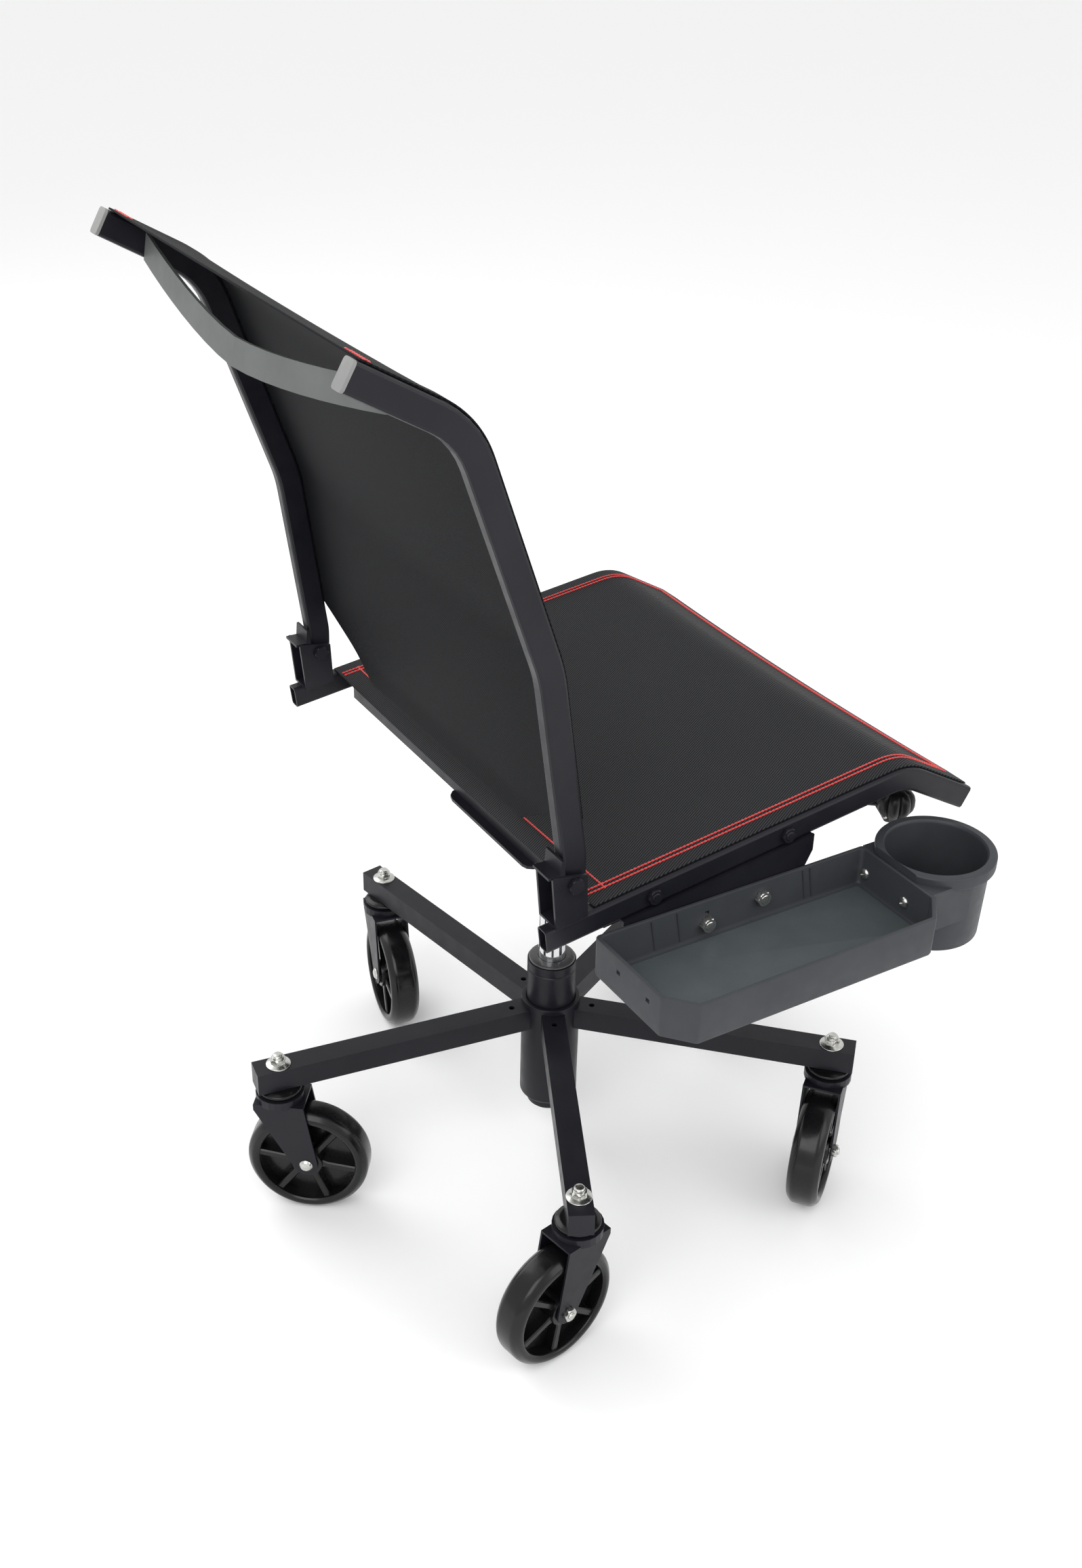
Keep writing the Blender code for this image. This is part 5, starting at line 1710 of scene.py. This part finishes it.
@dataclass
class SeatFasteners:
    """The bolts of the hinges, rails, plate, tray and cup holder."""

    head: float = 0.0042
    head_chamfer: float = 0.0011
    nut_chamfer: float = 0.0009
    shank: float = 0.0028
    inset: float = 0.0006
    tray_head_extra: float = 0.0016
    crown_shares: Span = (0.36, 0.30)
    crown_heights: Span = (0.0007, 0.0009)
    crown_round: float = 0.0006
    pan: Profile = (
        (0.0, -0.0030), (0.0056, -0.0030), (0.0056, -0.0018), (0.0046, -0.0004), (0.0024, 0.0006),
        (0.0, 0.0008))
    pan_round: float = 0.0008
    cross: Point = (0.0026, 0.0006, 0.0011)
    cross_above: float = 0.002
    cross_turn: float = 0.5
    screw_shank: float = 0.002
    pan_sides: int = 40
    screw_sides: int = 20

    def build(self) -> None:
        """Makes a finer bolt for each of the frame's."""
        for side in Side:
            self.bolt(f"hinge_bolt_{side.word}", (1, 0, 0), Finish.BLACK)
        for i in (1, 2):
            self.bolt(f"rail_bolt_{i}", (-1, 0, 0), Finish.BLACK, nut=False)
            self.bolt(f"tray_bolt_{i}", (-1, 0, 0), Finish.ZINC, extra=self.tray_head_extra)
            self.bolt(f"plate_bolt_{i}", (0, 0, 1), Finish.BLACK)
            self.pan_screw(f"cup_screw_{i}")

    def bolt(self, node: str, axis: Point, finish: Finish, nut: bool = True, extra: float = 0.0) -> None:
        """A hexagon bolt where the frame has one.

        Args:
            node: The frame's node.
            axis: The way its head points.
            finish: Its finish.
            nut: Whether it has a nut on its far end.
            extra: How much taller its head is than the frame's.
        """
        low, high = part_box(node)
        size, middle = high - low, (low + high) / 2
        reach = abs(size.dot(Vector(axis))) / 2
        width = min(size[i] for i in range(3) if not axis[i])
        under, end, top = reach - self.head, -reach + self.inset, reach + extra
        wide, narrow = (width * share for share in self.crown_shares)
        rise, peak = self.crown_heights
        crown = ((0.0, top), (wide, top), (narrow, top + rise), (0.0, top + peak))
        pieces = [
            HexHead(width, self.head + extra, self.head_chamfer).mesh(under),
            turned(((0.0, end), (self.shank, end), (self.shank, under), (0.0, under)), SHANK_SIDES),
            turned(softened(crown, self.crown_round), DOME_SIDES),
        ]
        if nut:
            pieces.append(HexHead(width, self.head, self.nut_chamfer).mesh(-reach))
        settle(f"{node}_hex", placed(joined(*pieces), facing(axis, middle)), finish, "seat", (node,))

    def pan_screw(self, node: str) -> None:
        """A cross-head screw in the tray's front wall.

        Args:
            node: The frame's node.
        """
        low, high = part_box(node)
        length, shank = high.y - low.y, self.screw_shank
        head = turned(softened(raised(self.pan, length), self.pan_round), self.pan_sides)
        long, wide, deep = self.cross
        for turn in (0.0, math.pi / 2):
            slot = lofted_box((-long, -wide, length - deep), (long, wide, length + self.cross_above))
            slot.transform(Matrix.Rotation(turn + self.cross_turn, 4, "Z"))
            head = combined(head, slot, Cut.DIFFERENCE)
        end = length - self.cross_above
        body = turned(((0.0, 0.0), (shank, 0.0), (shank, end), (0.0, end)), self.screw_sides)
        spot = Vector(((low.x + high.x) / 2, low.y, (low.z + high.z) / 2))
        screw = placed(joined(head, body), facing((0, 1, 0), spot))
        settle(f"{node}_cross", screw, Finish.ZINC, "seat", (node,))


# --- Frame finishes -----------------------------------------------------------------------------------


@dataclass
class FrameDress:
    """Finishes and eased edges for the frame's own nodes."""

    arm_edge: float = 0.0009
    sheet_edge: float = 0.0006
    flat_deg: float = 0.5
    corner_deg: float = 40.0
    arms: str = "base_arm"
    forks: str = "caster_fork"
    eased: tuple[str, ...] = (
        "rear_crossbar", "front_crossbar", "lift_plate", "hinge_bracket_left", "hinge_bracket_right",
        "tray_bracket", "upper_crossbar", "back_cap_left", "back_cap_right",
    )

    def finish_of(self, slot: str) -> Finish:
        """The finish of one of the record's slots.

        Args:
            slot: The slot's name.

        Returns:
            The finish.
        """
        return {
            "black_steel": Finish.BLACK, "grey_steel": Finish.GREY, "zinc": Finish.ZINC,
            "chrome": Finish.CHROME, "grey_plastic": Finish.CAP, "slate_plastic": Finish.GRIP,
            "wheel_plastic": Finish.GLOSS, "mesh_fabric": Finish.CLOTH,
        }[slot]

    def build(self) -> None:
        """Sets each node's material, and eases the edges of folded and sawn pieces."""
        slots = {part["node"]: part["material_slot"] for part in frame["record"]["subparts"]}
        for node, obj in frame["nodes"].items():
            obj.data.materials.clear()
            obj.data.materials.append(self.finish_of(slots[node]).material())
            if node in self.eased or node.startswith((self.arms, self.forks)):
                self.ease(obj, self.arm_edge if node.startswith(self.arms) else self.sheet_edge)

    def ease(self, obj: bpy.types.Object, width: float) -> None:
        """Rounds a node's edges as it is drawn.

        Args:
            obj: The node's object.
            width: How much of each edge is taken off.
        """
        flat = obj.modifiers.new("flat_faces", "DECIMATE")
        flat.decimate_type = "DISSOLVE"
        flat.angle_limit = math.radians(self.flat_deg)
        bevel = obj.modifiers.new("eased_edges", "BEVEL")
        bevel.width = width
        bevel.segments = 2
        bevel.limit_method = "ANGLE"
        bevel.angle_limit = math.radians(self.corner_deg)


# --- Stage --------------------------------------------------------------------------------------------


@dataclass(frozen=True)
class Softbox:
    """A square area light that faces the seat."""

    name: str
    from_lift: Point
    size: float
    power: float
    aim: Point = (0.0, 0.0, 0.5)

    def build(self) -> None:
        """Hangs the light."""
        light = bpy.data.lights.new(self.name, "AREA")
        light.shape, light.size, light.energy = "SQUARE", self.size, self.power
        lamp = linked(self.name, light)
        lamp.location = at_lift(*self.from_lift)
        lamp.rotation_mode = "QUATERNION"
        lamp.rotation_quaternion = (at_lift(*self.aim) - lamp.location).to_track_quat("-Z", "Y")


@dataclass
class Stage:
    """The floor, the soft lights and the camera."""

    azimuth: float = 238.0
    elevation: float = 30.47
    roll: float = 1.51
    lens: float = 40.5
    sensor: float = 36.0
    view_reach: float = 100.0
    camera_from_lift: Point = (-1.2323, 0.7887, 1.2913)
    floor_size: float = 30.0
    floor_grey: float = 0.93
    floor_roughness: float = 0.8
    sky_strength: float = 0.95
    lights: tuple[Softbox, ...] = (
        Softbox("key", (-1.6, 1.9, 2.6), 2.2, 46.0),
        Softbox("fill", (-2.6, -1.6, 1.9), 2.2, 26.0),
        Softbox("rim", (2.2, 1.0, 2.2), 2.0, 28.0),
    )

    def build(self) -> None:
        """Sets the stage."""
        self.build_floor()
        self.build_sky()
        for light in self.lights:
            light.build()
        self.build_camera()

    def build_floor(self) -> None:
        """A wide pale floor."""
        half = self.floor_size / 2
        mesh = bpy.data.meshes.new("floor")
        corners = [(-half, -half, 0), (half, -half, 0), (half, half, 0), (-half, half, 0)]
        mesh.from_pydata(corners, [], [(0, 1, 2, 3)])
        sheet = NodeSheet("pale_floor")
        sheet.set(Base_Color=(self.floor_grey,) * 3 + (1,), Roughness=self.floor_roughness)
        mesh.materials.append(sheet.material)
        linked("floor", mesh)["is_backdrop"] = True

    def build_sky(self) -> None:
        """An even white surround."""
        world = bpy.data.worlds.new("surround")
        world.use_nodes = True
        sky = world.node_tree.nodes["Background"]
        sky.inputs["Color"].default_value = (1.0, 1.0, 1.0, 1)
        sky.inputs["Strength"].default_value = self.sky_strength
        bpy.context.scene.world = world
        bpy.context.scene.view_settings.view_transform = "Standard"

    def build_camera(self) -> None:
        """The camera behind the seat on the tray's side."""
        data = bpy.data.cameras.new("camera")
        data.lens, data.sensor_width, data.clip_end = self.lens, self.sensor, self.view_reach
        camera = linked("camera", data)
        a, e, roll = (math.radians(angle) for angle in (self.azimuth, self.elevation, self.roll))
        back = Vector((math.sin(a) * math.cos(e), -math.cos(a) * math.cos(e), math.sin(e)))
        across = Vector((0, 0, 1)).cross(back).normalized()
        up = back.cross(across)
        rolled_across = across * math.cos(roll) + up * math.sin(roll)
        rolled_up = up * math.cos(roll) - across * math.sin(roll)
        turn = Matrix((rolled_across, rolled_up, back)).transposed().to_4x4()
        camera.matrix_world = Matrix.Translation(at_lift(*self.camera_from_lift)) @ turn
        bpy.context.scene.camera = camera


def main() -> None:
    """Dresses the whole seat."""
    logging.basicConfig(level=logging.INFO, format="%(name)s: %(message)s")
    cad_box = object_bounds()
    FrameDress().build()
    GasLift().build()
    for index in range(1, CASTERS + 1):
        Caster(index).build()
    SeatCloth().build()
    BackCloth().build()
    Tray().build()
    CupHolder().build()
    LeverKnob().build()
    SeatFasteners().build()
    Stage().build()
    boxes = {"cad": cad_box, "visual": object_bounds()}
    {name: [list(corner) for corner in box] for name, box in boxes.items()}


if __name__ == "__main__":
    main()
